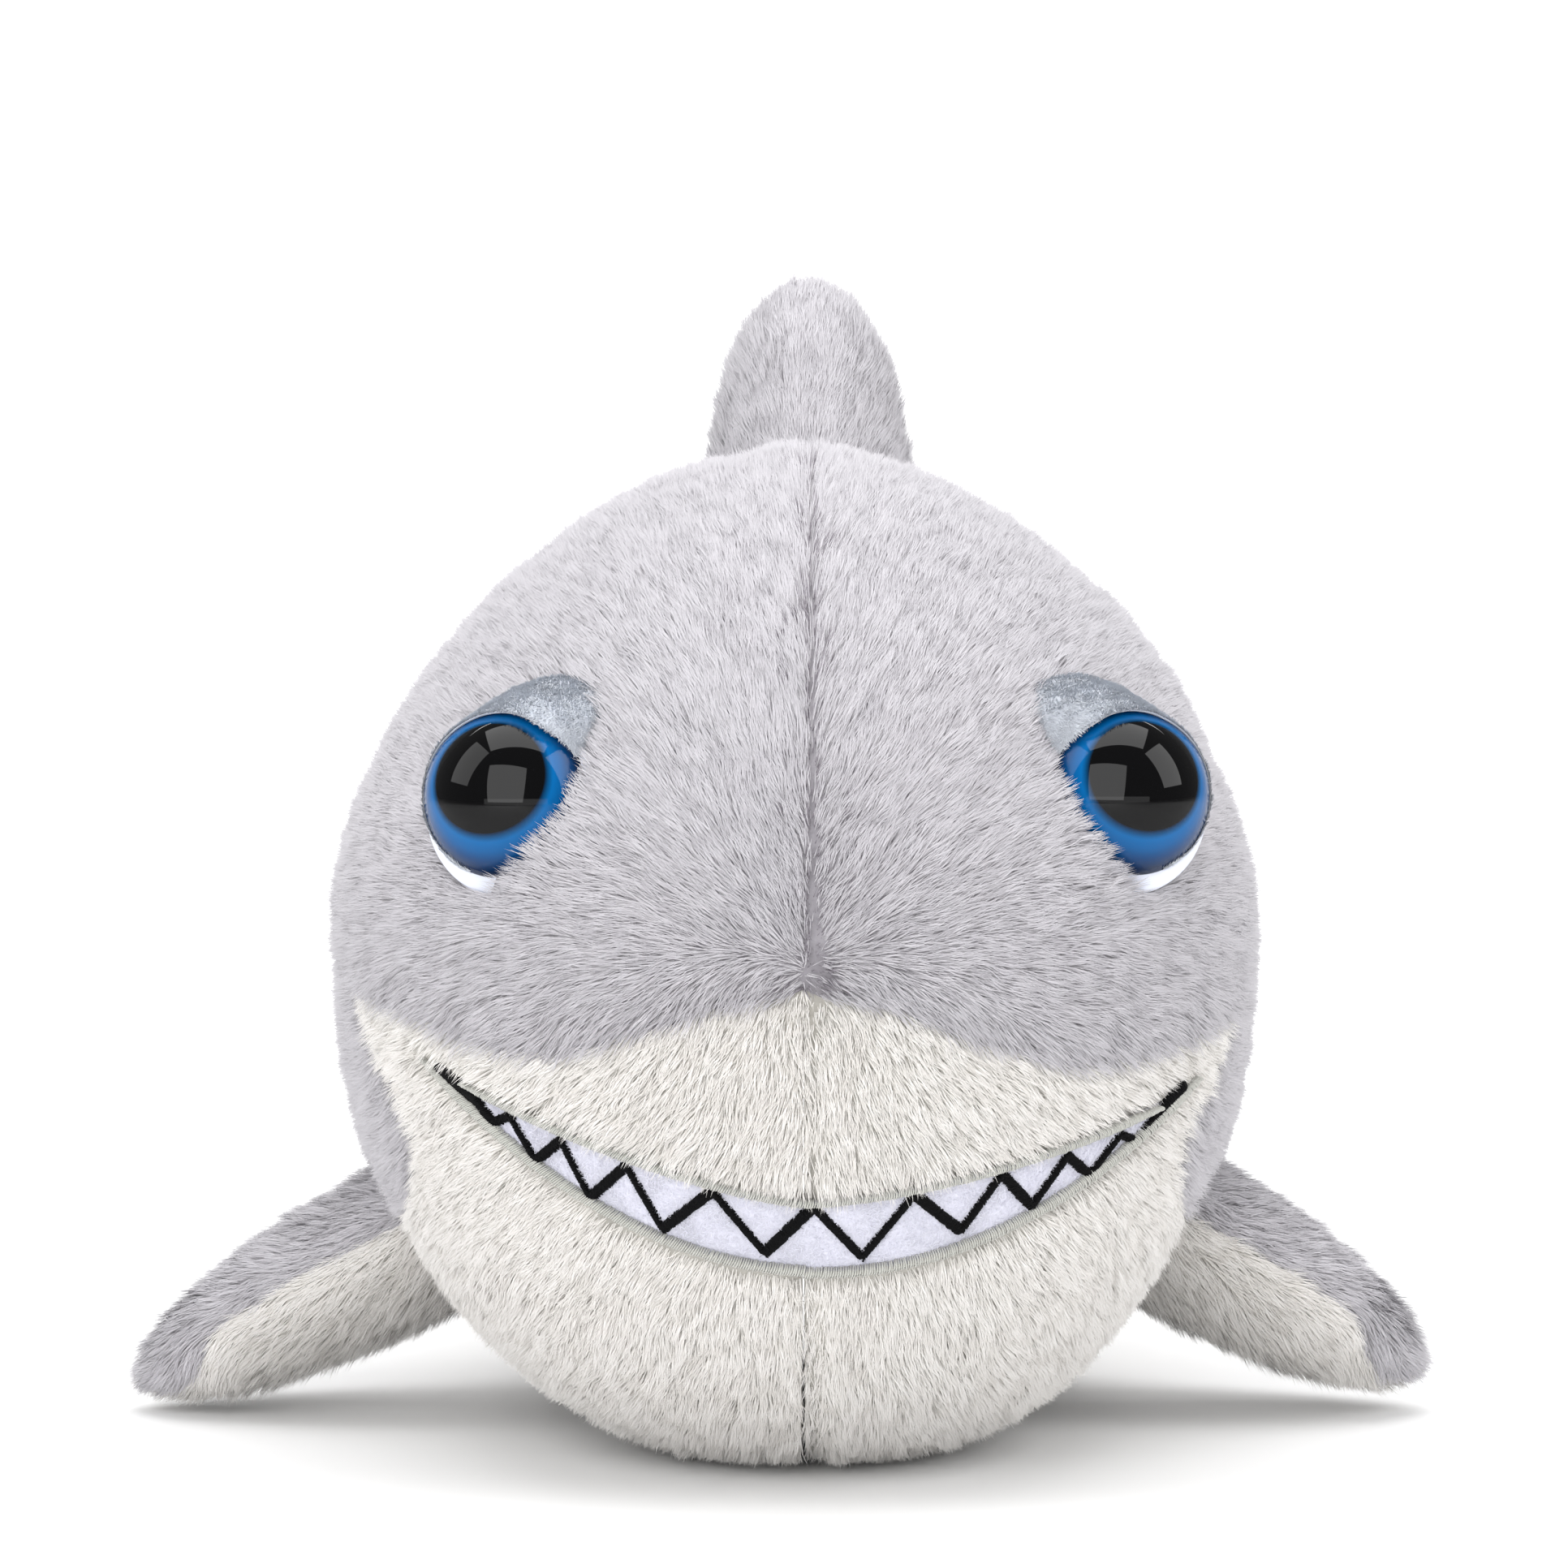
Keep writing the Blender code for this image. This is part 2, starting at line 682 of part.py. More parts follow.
def make_dorsal_fin():
    y = DORSAL_Y
    z = float(top_of(np.array(y)))
    chord = (0.0, math.cos(DORSAL_SLOPE), math.sin(DORSAL_SLOPE))
    span = (0.0, -math.sin(DORSAL_SLOPE), math.cos(DORSAL_SLOPE))
    parent = joint_empty("dorsal_hinge", (0.0, y, z))
    root = (0.0, y, z + DORSAL_CLEARANCE)
    swings = (DORSAL_SWING, DORSAL_SWING)
    fin = Fin(root, span, chord, DORSAL_SIZE, DORSAL_TIP, DORSAL_ROUND, DORSAL_SWEEP, swings, DORSAL_SAG)
    names = ["dorsal_fin_panel_left", "dorsal_fin_panel_right"]
    if fin.thick[0] > 0:
        names.reverse()
    fin.make(names, (GREY, GREY), "dorsal_fin_stuffing", parent)


def make_side_fins():
    for side, word in ((-1, "left"), (1, "right")):
        x, y, z = FIN_ROOT
        root = (side * x, y, z)
        span = Vector((side * math.cos(FIN_DROOP), 0.0, -math.sin(FIN_DROOP)))
        chord = Matrix.Rotation(-side * FIN_ATTACK, 3, span) @ Vector((0.0, 1.0, 0.0))
        parent = joint_empty("pectoral_hinge_" + word, root)
        over, under = FIN_LIFT, 2
        fin = Fin(root, span, chord, FIN_SIZE, FIN_TIP, FIN_ROUND, FIN_SWEEP, (over, under))
        names = ["pectoral_top_panel_" + word, "pectoral_under_panel_" + word]
        colours = [GREY, CREAM]
        if fin.thick[2] < 0:
            fin.swings.reverse()
            names.reverse()
            colours.reverse()
        fin.make(names, colours, "pectoral_stuffing_" + word, parent)


def tail_grid(turns, rows, inset, end_inset):
    """The tail stem: rows along Y, columns at turns from the top. Its front leaves room to swing."""
    share = np.linspace(0.0, 1.0, rows + 1)[:, None]
    wide = TAIL_HALF_WIDTH[0] + (TAIL_HALF_WIDTH[1] - TAIL_HALF_WIDTH[0]) * share - inset
    tall = TAIL_HALF_HEIGHT[0] + (TAIL_HALF_HEIGHT[1] - TAIL_HALF_HEIGHT[0]) * share - inset
    middle = TAIL_MIDDLE_Z[0] + (TAIL_MIDDLE_Z[1] - TAIL_MIDDLE_Z[0]) * share
    x = wide * np.sin(turns)[None, :]
    z = middle + tall * np.cos(turns)[None, :]
    start = BODY_END_Y + 2 * SEAM_GAP + np.abs(x[0]) * math.tan(math.radians(TAIL_SWING))
    y = start[None, :] + (TAIL_END_Y - end_inset - start[None, :]) * share
    return np.stack([x, y, z + 0 * x], axis=-1)


def make_tail_stem(parent):
    for name, first, last, move, colour in (
        ("tail_panel_left", -TAIL_SEAM, 0.0, (-1, 1), GREY),
        ("tail_panel_right", 0.0, TAIL_SEAM, (1, 1), GREY),
        ("tail_under_panel", TAIL_SEAM, 2 * math.pi - TAIL_SEAM, (0, 0), CREAM),
    ):
        turns = np.linspace(first, last, 8)
        shift = np.array([move[0] * SEAM_GAP / 2, 0.0, move[1] * SEAM_GAP])
        outer = tail_grid(turns, 5, 0.0, 0.0) + shift
        inner = tail_grid(turns, 5, PILE * 0.75, 0.0) + shift
        points, faces = patch_solid(outer, inner)
        add_object(name, points, faces, (colour, 0.9), parent)
    turns = np.linspace(0.0, 2 * math.pi, 17)[:-1]
    rings = tail_grid(turns, 4, PILE * 0.75 + FILL_GAP, 0.0004)
    points, faces = closed_loft(rings)
    add_object("tail_stuffing", points, faces, (FILLING, 0.95), parent)


def caudal_grid(turns, rows, inset):
    """The upright tail fin: rows from its lower to its upper tip, columns round the section."""
    reach = np.linspace(-1.0, 1.0, rows + 1)[:, None]
    reach = np.sin(reach * math.pi / 2)
    middle = (CAUDAL_LOW_Z + CAUDAL_HIGH_Z) / 2
    half = (CAUDAL_HIGH_Z - CAUDAL_LOW_Z) / 2 - inset
    rounding = np.sqrt(np.maximum(1 - reach**4, 0.0))
    chord = np.maximum(CAUDAL_CHORD / 2 * rounding * (1 - 0.15 * reach**2) - inset * rounding, 0.0)
    thick = np.maximum((CAUDAL_HALF_THICKNESS - inset) * rounding, 0.0)
    centre = CAUDAL_FRONT_Y + CAUDAL_CHORD / 2 + CAUDAL_SWEEP * np.abs(reach) ** 1.6
    y = centre + chord * np.cos(turns)[None, :]
    x = thick * np.sin(turns)[None, :]
    z = middle + half * reach + 0 * x
    return np.stack([x, y, z], axis=-1)


def make_caudal_fin(parent):
    for name, first, side in (("caudal_fin_panel_right", 0.0, 1), ("caudal_fin_panel_left", math.pi, -1)):
        turns = np.linspace(first, first + math.pi, 8)
        shift = np.array([side * SEAM_GAP / 2, 0.0, 0.0])
        outer = caudal_grid(turns, 14, 0.0) + shift
        inner = caudal_grid(turns, 14, PILE * 0.75) + shift
        points, faces = patch_solid(outer, inner, start_point=True, end_point=True)
        add_object(name, points, faces, (GREY, 0.9), parent)
    turns = np.linspace(0.0, 2 * math.pi, 11)[:-1]
    rings = caudal_grid(turns, 12, PILE * 0.75 + FILL_GAP)
    points, faces = closed_loft(rings, start_point=True, end_point=True)
    add_object("caudal_fin_stuffing", points, faces, (FILLING, 0.95), parent)


def make_tail():
    parent = joint_empty("tail_hinge", (0.0, BODY_END_Y, TAIL_MIDDLE_Z[0]))
    make_tail_stem(parent)
    make_caudal_fin(parent)


def main():
    clear_scene()
    panels = make_body_panels()
    stuffing = make_body_stuffing()
    make_mouth(panels)
    make_eyes(panels, stuffing)
    make_dorsal_fin()
    make_side_fins()
    make_tail()
    bpy.context.view_layer.update()


main()
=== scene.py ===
"""Looks of the plush shark: skins, pile, felt mouth, stitching, glossy eyes, studio.

Metres, +Z up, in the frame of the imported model. The nose points along -Y. "left" is the side at -X.
The pile is real geometry: every strand is a tapered blade that is rooted in a skin a little under
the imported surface, combed along a direction field and gathered into small tufts.
"""

import itertools
import math

import bpy
import numpy as np
from mathutils import Matrix, Vector


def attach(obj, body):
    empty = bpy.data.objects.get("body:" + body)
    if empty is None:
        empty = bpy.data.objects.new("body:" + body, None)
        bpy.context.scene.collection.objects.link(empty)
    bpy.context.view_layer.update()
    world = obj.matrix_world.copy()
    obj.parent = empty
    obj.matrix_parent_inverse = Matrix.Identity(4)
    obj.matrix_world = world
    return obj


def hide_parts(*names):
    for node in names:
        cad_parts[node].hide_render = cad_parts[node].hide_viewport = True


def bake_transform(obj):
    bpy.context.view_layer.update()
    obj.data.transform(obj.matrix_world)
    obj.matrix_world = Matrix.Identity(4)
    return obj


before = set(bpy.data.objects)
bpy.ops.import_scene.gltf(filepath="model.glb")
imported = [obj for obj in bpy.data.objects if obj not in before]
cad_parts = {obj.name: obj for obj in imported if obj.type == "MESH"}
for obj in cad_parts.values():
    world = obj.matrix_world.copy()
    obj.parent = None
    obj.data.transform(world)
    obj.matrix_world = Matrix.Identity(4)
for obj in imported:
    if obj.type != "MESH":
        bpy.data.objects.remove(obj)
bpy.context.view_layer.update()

MM = 0.001

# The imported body's form, as its design describes it
NOSE_Y = -0.165
BODY_END_Y = 0.080
NOSE_Z = 0.0925
HALF_WIDTH = 0.0862
TOP_Z = 0.1826
BELLY_DROP = 0.003
WIDEST_Y = -0.055
CREST_Y = -0.040
BELLY_Y = -0.085
BELLY_END_Y = -0.010
MIDDLE_RISE = 0.006
END_HALF_WIDTH = 0.026
END_TOP_Z = 0.122
END_BOTTOM_Z = 0.068
UPPER_POWER = 1.66
LOWER_POWER = 2.25

# Pile
SKIN_DEPTH = 0.0016
DENSITY = 4.8e6
STRAND_LENGTH = 0.0052
STRAND_WIDTH = 0.00019
MOST_STRANDS = 60000
TUFT_SIZE = 0.0028
PILE_EVENNESS = 0.66
SEAM_X = 0.0016
SEAM_BARE = 0.00035
FIN_SKIN_DEPTH = SKIN_DEPTH * 0.85
SKIN_THICKNESS = 0.0010
FLOOR_GAP = 0.0003
LEAN = (math.radians(34), math.radians(72))

# Stuffing: frames of cloth, the furthest that a point may move, and the pressures
CLOTH_FRAMES = 16
CLOTH_MOST = 0.0016
BODY_PRESSURE = 25.0
FIN_PRESSURE = 300.0

# Where grey meets cream on the body, in mm as (y, z), from under the nose to the tail
EDGE_LEFT = (
    (-164.9, 90.7), (-163.4, 89.6), (-160.6, 86.2), (-151, 80.2), (-135.7, 81.0), (-122.4, 83.6),
    (-106, 84.6), (-92.4, 85.5), (-96, 80.5), (-101.7, 75.7), (-109.7, 67.8), (-113, 62.3), (-110, 55.8),
    (-98.1, 47.6), (-78.1, 42.1), (-40, 41), (0, 46), (40, 60), (82, 80),
)
EDGE_RIGHT = (
    (-164.9, 90.7), (-163.2, 88.8), (-159.2, 84.0), (-152.2, 79.6), (-144.8, 77.0), (-130.7, 77.2),
    (-110, 78.6), (-92, 79.8), (-97, 73), (-102.1, 66.7), (-109.3, 61.9), (-108.3, 56.2), (-103.1, 49.7),
    (-77.7, 40.4), (-40, 40.5), (0, 46), (40, 60), (82, 80),
)

# Where the skins under the pile divide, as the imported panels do, in mm as (y, z)
SKIN_SPLIT = (
    (-165, 91.0), (-160, 84.0), (-150, 78.4), (-142, 77.5), (-130, 79.5), (-112, 83.0),
    (-100, 82.0), (-92, 64.0), (-80, 48.0), (-40, 42.0), (30, 48.0), (80, 80.0),
)

# Mouth: height over the middle, climb to the corner and its power, and the smile's tilt
MOUTH_TOP = (0.0546, 0.0184, 1.38, 0.071)
MOUTH_BOTTOM = (0.0418, 0.0292, 1.93, 0.067)
MOUTH_TILT = 0.048
MOUTH_HALF = 0.0690

# Zigzag corners in mm as (x, z), and each stroke's width in mm
ZIGZAG = (
    (-65.8, 74.6), (-58.6, 69.9), (-55.4, 65.9), (-52.2, 67.7), (-47.5, 60.0), (-42.9, 64.2),
    (-37.7, 54.2), (-31.2, 60.5), (-24.8, 49.3), (-16.0, 56.6), (-6.8, 45.4), (1.8, 53.9),
    (10.3, 44.5), (19.5, 55.9), (27.7, 48.7), (35.0, 58.8), (40.4, 52.3), (46.8, 61.0),
    (50.9, 57.0), (56.6, 63.7), (59.4, 62.0), (62.8, 65.5), (68.9, 70.4),
)
STROKES = (
    2.8, 1.7, 1.7, 0.9, 1.8, 1.0, 1.9, 1.1, 2.0, 1.25, 2.1, 1.5, 1.35,
    2.0, 1.2, 1.9, 1.1, 1.8, 0.95, 1.6, 1.3, 2.2,
)

# Threads: how far apart they lie and how thick they are
ZIGZAG_STEP = 0.00028
ZIGZAG_THREAD = 0.00016
LINT_THREAD = 0.00003
SATIN_STEP = 0.00043
SATIN_THREAD = 0.00017
SATIN_SLANT = math.radians(18)

# Eyes
EYE_AT = {-1: (0.0520, 0.1235), 1: (0.0570, 0.1235)}
EYE_YAW = math.radians(19)
EYE_PITCH = math.radians(13)
EYE_RADIUS = 0.0152
EYE_HEIGHT = 0.0098
EYE_LIFT = 0.0016
LID_REACH = 0.0110
LID_TURNS = (-72, 154)
LID_THICKNESS = 0.0012
# The hole in the pile: its radius in mm at angles from the outer side, over the top
CLEAR_AT = (0, 150, 180, 217, 240, 258, 268, 300, 325, 360)
CLEAR_RADIUS = (15.9, 15.9, 14.6, 13.4, 14.0, 16.2, 18.4, 18.2, 16.4, 15.9)
DISC_RADIUS = 0.0163
DISC_SHIFT = (-0.0018, -0.0024)
PUPIL_RADIUS = 0.0105
PUPIL_SHIFT = (0.0001, 0.0013)

# Fins and tail
DORSAL_Y = 0.0075
DORSAL_SLOPE = math.radians(-24)
DORSAL_SIZE = (0.0428, 0.0340, 0.0212)
DORSAL_CLEARANCE = 0.0033
FIN_ROOT = (0.0710, -0.050, 0.0345)
FIN_DROOP = math.radians(27)
FIN_ATTACK = math.radians(15)
FIN_SIZE = (0.0625, 0.0275, 0.0155)
FIN_SHORTER = 0.0088
FIN_EXTRA_DROOP = math.radians(2.0)
TIP_WRAP = 1.3
TAIL_END_Y = 0.1220
TAIL_HALF_WIDTH = (0.0250, 0.0080)
TAIL_HALF_HEIGHT = (0.0260, 0.0170)
TAIL_MIDDLE_Z = (0.095, 0.100)
TAIL_SEAM = math.radians(118)
CAUDAL_FRONT_Y = 0.1225
CAUDAL_LOW_Z = 0.040
CAUDAL_HIGH_Z = 0.165
CAUDAL_HALF_THICKNESS = 0.0080
CAUDAL_CHORD = 0.0330
CAUDAL_SWEEP = 0.0210

# Studio: the floor curves up behind the object
WORLD_STRENGTH = 0.26
# Each light's name, place, target, size and power in watts
LIGHTS = (
    ("softbox_front", (-0.30, -1.36, 0.64), (0, -0.1, 0.10), (1.15, 1.15), 13.0),
    ("softbox_left", (-1.30, -0.40, 1.05), (0, -0.05, 0.10), (0.8, 1.2), 7.0),
    ("softbox_right", (1.30, -0.50, 0.95), (0, -0.05, 0.10), (0.8, 1.2), 10.5),
    ("softbox_top", (0.0, -0.15, 1.6), (0, -0.05, 0.10), (1.6, 1.0), 18.0),
    ("low_fill", (0.0, -1.6, 0.12), (0, -0.1, 0.04), (2.4, 0.2), 1.8),
    ("backdrop_light", (0.0, 0.9, 1.9), (0, 2.4, 0.9), (2.5, 0.8), 60.0),
)
COVE_RADIUS = 1.6
FLOOR_DROP = 0.0004

# Camera: in front of the nose, a little above the middle
CAMERA_TARGET = Vector((0.0, -0.04, 0.10))
CAMERA_DISTANCE = 1.25
CAMERA_RISE = math.radians(5)
CAMERA_UP = math.radians(0.871)
CAMERA_LEFT = math.radians(0.172)
LENS = 150.3


# ---------------------------------------------------------------- small helpers


def unit(v):
    return v / np.maximum(np.linalg.norm(v, axis=-1, keepdims=True), 1e-12)


def smooth(x, low, high):
    """A soft step from 0 at low to 1 at high."""
    t = np.clip((x - low) / (high - low), 0.0, 1.0)
    return t * t * (3 - 2 * t)


def lattice(cell, seed):
    """A repeatable number from 0 to 1 for each lattice cell."""
    c = cell.astype(np.int64)
    h = c[..., 0] * 73856093 ^ c[..., 1] * 19349663 ^ c[..., 2] * 83492791 ^ (seed * 2654435761)
    h = (h ^ (h >> 13)) * 1274126177 & 0xFFFFFFFF
    h = (h ^ (h >> 16)) * 2246822519 & 0xFFFFFFFF
    return ((h ^ (h >> 15)) & 0xFFFFFF) / float(0xFFFFFF)


def noise(points, size, seed):
    """Smooth value noise from -1 to 1."""
    q = points / size
    cell = np.floor(q)
    f = q - cell
    f = f * f * (3 - 2 * f)
    total = 0
    for corner in itertools.product((0, 1), repeat=3):
        c = np.array(corner)
        weight = np.prod(np.where(c == 1, f, 1 - f), axis=-1)
        total = total + weight * lattice(cell + c, seed)
    return total * 2 - 1


def tufts(points, size, seed):
    """For each point, the vector to its nearest tuft centre and that tuft's own random number."""
    cell = np.floor(points / size)
    best = np.full(len(points), np.inf)
    pull = np.zeros_like(points)
    own = np.zeros(len(points))
    for near in itertools.product((-1, 0, 1), repeat=3):
        c = cell + np.array(near)
        centre = np.stack([lattice(c, seed + k) for k in range(3)], axis=-1)
        toward = (c + centre) * size - points
        far = np.sum(toward * toward, axis=-1)
        closer = far < best
        best = np.where(closer, far, best)
        pull[closer] = toward[closer]
        own[closer] = lattice(c, seed + 9)[closer]
    return pull, own


def link(name, data):
    made = bpy.data.objects.new(name, data)
    bpy.context.scene.collection.objects.link(made)
    return made


def mesh_object(name, points, faces, material=None):
    mesh = bpy.data.meshes.new(name)
    mesh.from_pydata(np.asarray(points).reshape(-1, 3).tolist(), [], faces)
    mesh.validate()
    mesh.shade_smooth()
    if material is not None:
        mesh.materials.append(material)
    return link(name, mesh)


def dress(pieces, body="body"):
    """Fastens pieces to a body."""
    for piece in pieces:
        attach(piece, body)


def grid_faces(rows, columns, start=0, wrap=False):
    """Quads of a grid of points. wrap closes each row into a ring."""
    faces = []
    across = columns if wrap else columns - 1
    for r in range(rows - 1):
        for c in range(across):
            after = (c + 1) % columns
            a = start + r * columns
            faces.append((a + c, a + after, a + columns + after, a + columns + c))
    return faces


def shell(name, outer, inner, material):
    """A closed thick sheet between two grids of the same size."""
    rows, columns = outer.shape[:2]
    count = rows * columns
    faces = grid_faces(rows, columns)
    faces += [tuple(reversed(f)) for f in grid_faces(rows, columns, count)]
    edge = [(0, c) for c in range(columns)]
    edge += [(r, columns - 1) for r in range(1, rows)]
    edge += [(rows - 1, c) for c in range(columns - 2, -1, -1)]
    edge += [(r, 0) for r in range(rows - 2, 0, -1)]
    ring = [r * columns + c for r, c in edge]
    for k, a in enumerate(ring):
        b = ring[(k + 1) % len(ring)]
        faces.append((b, a, a + count, b + count))
    points = np.concatenate([outer.reshape(-1, 3), inner.reshape(-1, 3)])
    return mesh_object(name, points, faces, material)


def tube(path, radii, sides, up, flat=1.0):
    """Points and faces of a closed tube along a path. flat squeezes it along up."""
    along = unit(np.gradient(path, axis=0))
    side = unit(np.cross(along, up))
    over = unit(np.cross(side, along))
    turn = np.arange(sides) / sides * 2 * math.pi
    radii = np.broadcast_to(np.asarray(radii, float), (len(path),))
    ring = (
        path[:, None]
        + side[:, None] * (np.cos(turn)[None, :, None] * radii[:, None, None])
        + over[:, None] * (np.sin(turn)[None, :, None] * radii[:, None, None] * flat)
    )
    faces = grid_faces(len(path), sides, wrap=True)
    faces.append(tuple(range(sides - 1, -1, -1)))
    faces.append(tuple((len(path) - 1) * sides + k for k in range(sides)))
    return ring.reshape(-1, 3), faces


class Pile:
    """Collects points and faces of several parts into one object."""

    def __init__(self):
        self.points, self.faces, self.count = [], [], 0

    def add(self, points, faces):
        self.points.append(points)
        self.faces += [tuple(i + self.count for i in f) for f in faces]
        self.count += len(points)

    def object(self, name, material):
        return mesh_object(name, np.concatenate(self.points), self.faces, material)


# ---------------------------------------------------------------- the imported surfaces


def dome(y, widest, power):
    """How far the nose has opened: 0 at its tip and 1 from the widest place on."""
    along = np.clip((y - NOSE_Y) / (widest - NOSE_Y), 0.0, 1.0)
    return (1 - (1 - along) ** power) ** (1 / power)


def half_width(y):
    narrowing = (HALF_WIDTH - END_HALF_WIDTH) * smooth(y, WIDEST_Y + 0.010, BODY_END_Y + 0.012)
    return HALF_WIDTH * dome(y, WIDEST_Y, 2.05) - narrowing


def top_of(y):
    falling = (TOP_Z - END_TOP_Z) * smooth(y, CREST_Y + 0.020, BODY_END_Y + 0.020)
    return NOSE_Z + (TOP_Z - NOSE_Z) * dome(y, CREST_Y, 1.9) - falling


def bottom_of(y):
    rising = (END_BOTTOM_Z + BELLY_DROP) * smooth(y, BELLY_END_Y, BODY_END_Y + 0.018)
    return NOSE_Z - (NOSE_Z + BELLY_DROP) * dome(y, BELLY_Y, 2.2) + rising


def middle_of(y):
    return NOSE_Z + MIDDLE_RISE * dome(y, WIDEST_Y, 2.0)


def half_section(y, above):
    """The middle's height, the reach up or down from it, and the section's power there."""
    middle = middle_of(y)
    reach = np.where(above, top_of(y) - middle, middle - bottom_of(y))
    return middle, reach, np.where(above, UPPER_POWER, LOWER_POWER)


def body_point(y, turn):
    """A point on the +X half of the body, at a turn from 0 at the top to pi at the bottom."""
    down = np.cos(turn)
    middle, reach, power = half_section(y, down >= 0)
    x = half_width(y) * np.abs(np.sin(turn)) ** (2 / power)
    z = middle + np.sign(down) * reach * np.abs(down) ** (2 / power)
    return np.stack([x, y + 0 * x, np.maximum(z, 0.0)], axis=-1)


def turn_at_height(y, z):
    """The turn at which the section at y has the height z."""
    middle, reach, power = half_section(y, z >= middle_of(y))
    share = np.clip((z - middle) / np.maximum(reach, 1e-6), -1.0, 1.0)
    return np.arccos(np.sign(share) * np.abs(share) ** (power / 2))


def stations(front, back, end=BODY_END_Y):
    """Places along the body, close together at the nose."""
    angle = np.linspace(0.0006, math.pi / 2, front + 1)
    first = NOSE_Y + (WIDEST_Y - NOSE_Y) * (1 - np.cos(angle))
    return np.concatenate([first, np.linspace(WIDEST_Y, end, back + 1)[1:]])


def run_of(y):
    """How far along the body, in a measure that opens out the nose."""
    front = np.arccos(np.clip(1 - (y - NOSE_Y) / (WIDEST_Y - NOSE_Y), -1.0, 1.0))
    return np.where(y < WIDEST_Y, front, math.pi / 2 + (y - WIDEST_Y) / (WIDEST_Y - NOSE_Y))


def surface_y(x, z):
    """Where a line along +Y through (x, z) meets the front of the body, by halving."""
    low = np.full(np.shape(x), NOSE_Y)
    high = np.full(np.shape(x), WIDEST_Y)
    for _ in range(36):
        y = (low + high) / 2
        middle, reach, power = half_section(y, z >= middle_of(y))
        value = (np.abs(x) / np.maximum(half_width(y), 1e-6)) ** power
        value = value + (np.abs(z - middle) / np.maximum(reach, 1e-6)) ** power
        high = np.where(value < 1, y, high)
        low = np.where(value < 1, low, y)
    return (low + high) / 2


class FaceMap:
    """The face's surface over (x, z), looked up instead of solved each time."""

    def __init__(self):
        self.step = 0.0005
        self.low = np.array([-0.080, 0.030])
        x = np.arange(self.low[0], 0.0801, self.step)
        z = np.arange(self.low[1], 0.0901, self.step)
        xx, zz = np.meshgrid(x, z, indexing="ij")
        y = surface_y(xx, zz)
        slope_x, slope_z = np.gradient(y, self.step)
        self.grid = np.stack([y, slope_x, slope_z], axis=-1)

    def at(self, x, z):
        u = np.clip((x - self.low[0]) / self.step, 0, self.grid.shape[0] - 1.001)
        v = np.clip((z - self.low[1]) / self.step, 0, self.grid.shape[1] - 1.001)
        i, j = u.astype(int), v.astype(int)
        a, b = (u - i)[..., None], (v - j)[..., None]
        g = self.grid
        near = g[i, j] * (1 - a) + g[i + 1, j] * a
        far = g[i, j + 1] * (1 - a) + g[i + 1, j + 1] * a
        return near * (1 - b) + far * b


FACE = FaceMap()


def face_point(x, z, lift):
    """A point over the face at a height along its normal."""
    x, z = np.broadcast_arrays(np.asarray(x, float), np.asarray(z, float))
    found = FACE.at(x, z)
    normal = unit(np.stack([found[..., 1], -np.ones_like(x), found[..., 2]], axis=-1))
    point = np.stack([x, found[..., 0], z], axis=-1)
    return point + normal * np.asarray(lift)[..., None], normal


def grid_normals(points, flip=False):
    """Normals of a grid of points, from its own differences."""
    along = np.gradient(points, axis=0)
    around = np.gradient(points, axis=1)
    normal = unit(np.cross(around, along))
    return -normal if flip else normal


def mouth_line(x, edge):
    """The height of one edge of the mouth."""
    base, climb, power, reach = edge
    return base + climb * (np.abs(x) / reach) ** power - MOUTH_TILT * x


# ---------------------------------------------------------------- materials


def set_inputs(node, values):
    for socket, value in values.items():
        node.inputs[socket.replace("_", " ")].default_value = value


def principled(name, colour, roughness, **more):
    made = bpy.data.materials.new(name)
    made.use_nodes = True
    shader = made.node_tree.nodes["Principled BSDF"]
    set_inputs(shader, {"Base Color": (*colour, 1.0), "Roughness": roughness, **more})
    return made, made.node_tree, shader


def add_node(tree, kind, source=None, socket="Vector", **values):
    """A shader node with its values set, fed from another node's output."""
    made = tree.nodes.new("ShaderNode" + kind)
    set_inputs(made, values)
    if source is not None:
        tree.links.new(source, made.inputs[socket])
    return made


def add_ramp(tree, shader, source, stops):
    """Base colour that follows a value through (position, colour) stops."""
    ramp = add_node(tree, "ValToRGB", source, "Fac")
    band = ramp.color_ramp
    for element, (position, colour) in zip(band.elements, (stops[0], stops[-1])):
        element.position, element.color = position, (*colour, 1.0)
    for position, colour in stops[1:-1]:
        band.elements.new(position).color = (*colour, 1.0)
    tree.links.new(ramp.outputs["Color"], shader.inputs["Base Color"])


def add_bump(tree, shader, source, strength, distance):
    made = add_node(tree, "Bump", source, "Height", Strength=strength, Distance=distance)
    tree.links.new(made.outputs["Normal"], shader.inputs["Normal"])


def add_wear(tree, shader, source, low, high):
    """Roughness that wanders between two values."""
    spread = add_node(tree, "MapRange", source, "Value", To_Min=low, To_Max=high)
    tree.links.new(spread.outputs["Result"], shader.inputs["Roughness"])


def strand_material(name, colour):
    return principled(name, colour, 0.62, Sheen_Weight=0.25, Sheen_Roughness=0.4, Specular_IOR_Level=0.25)[0]


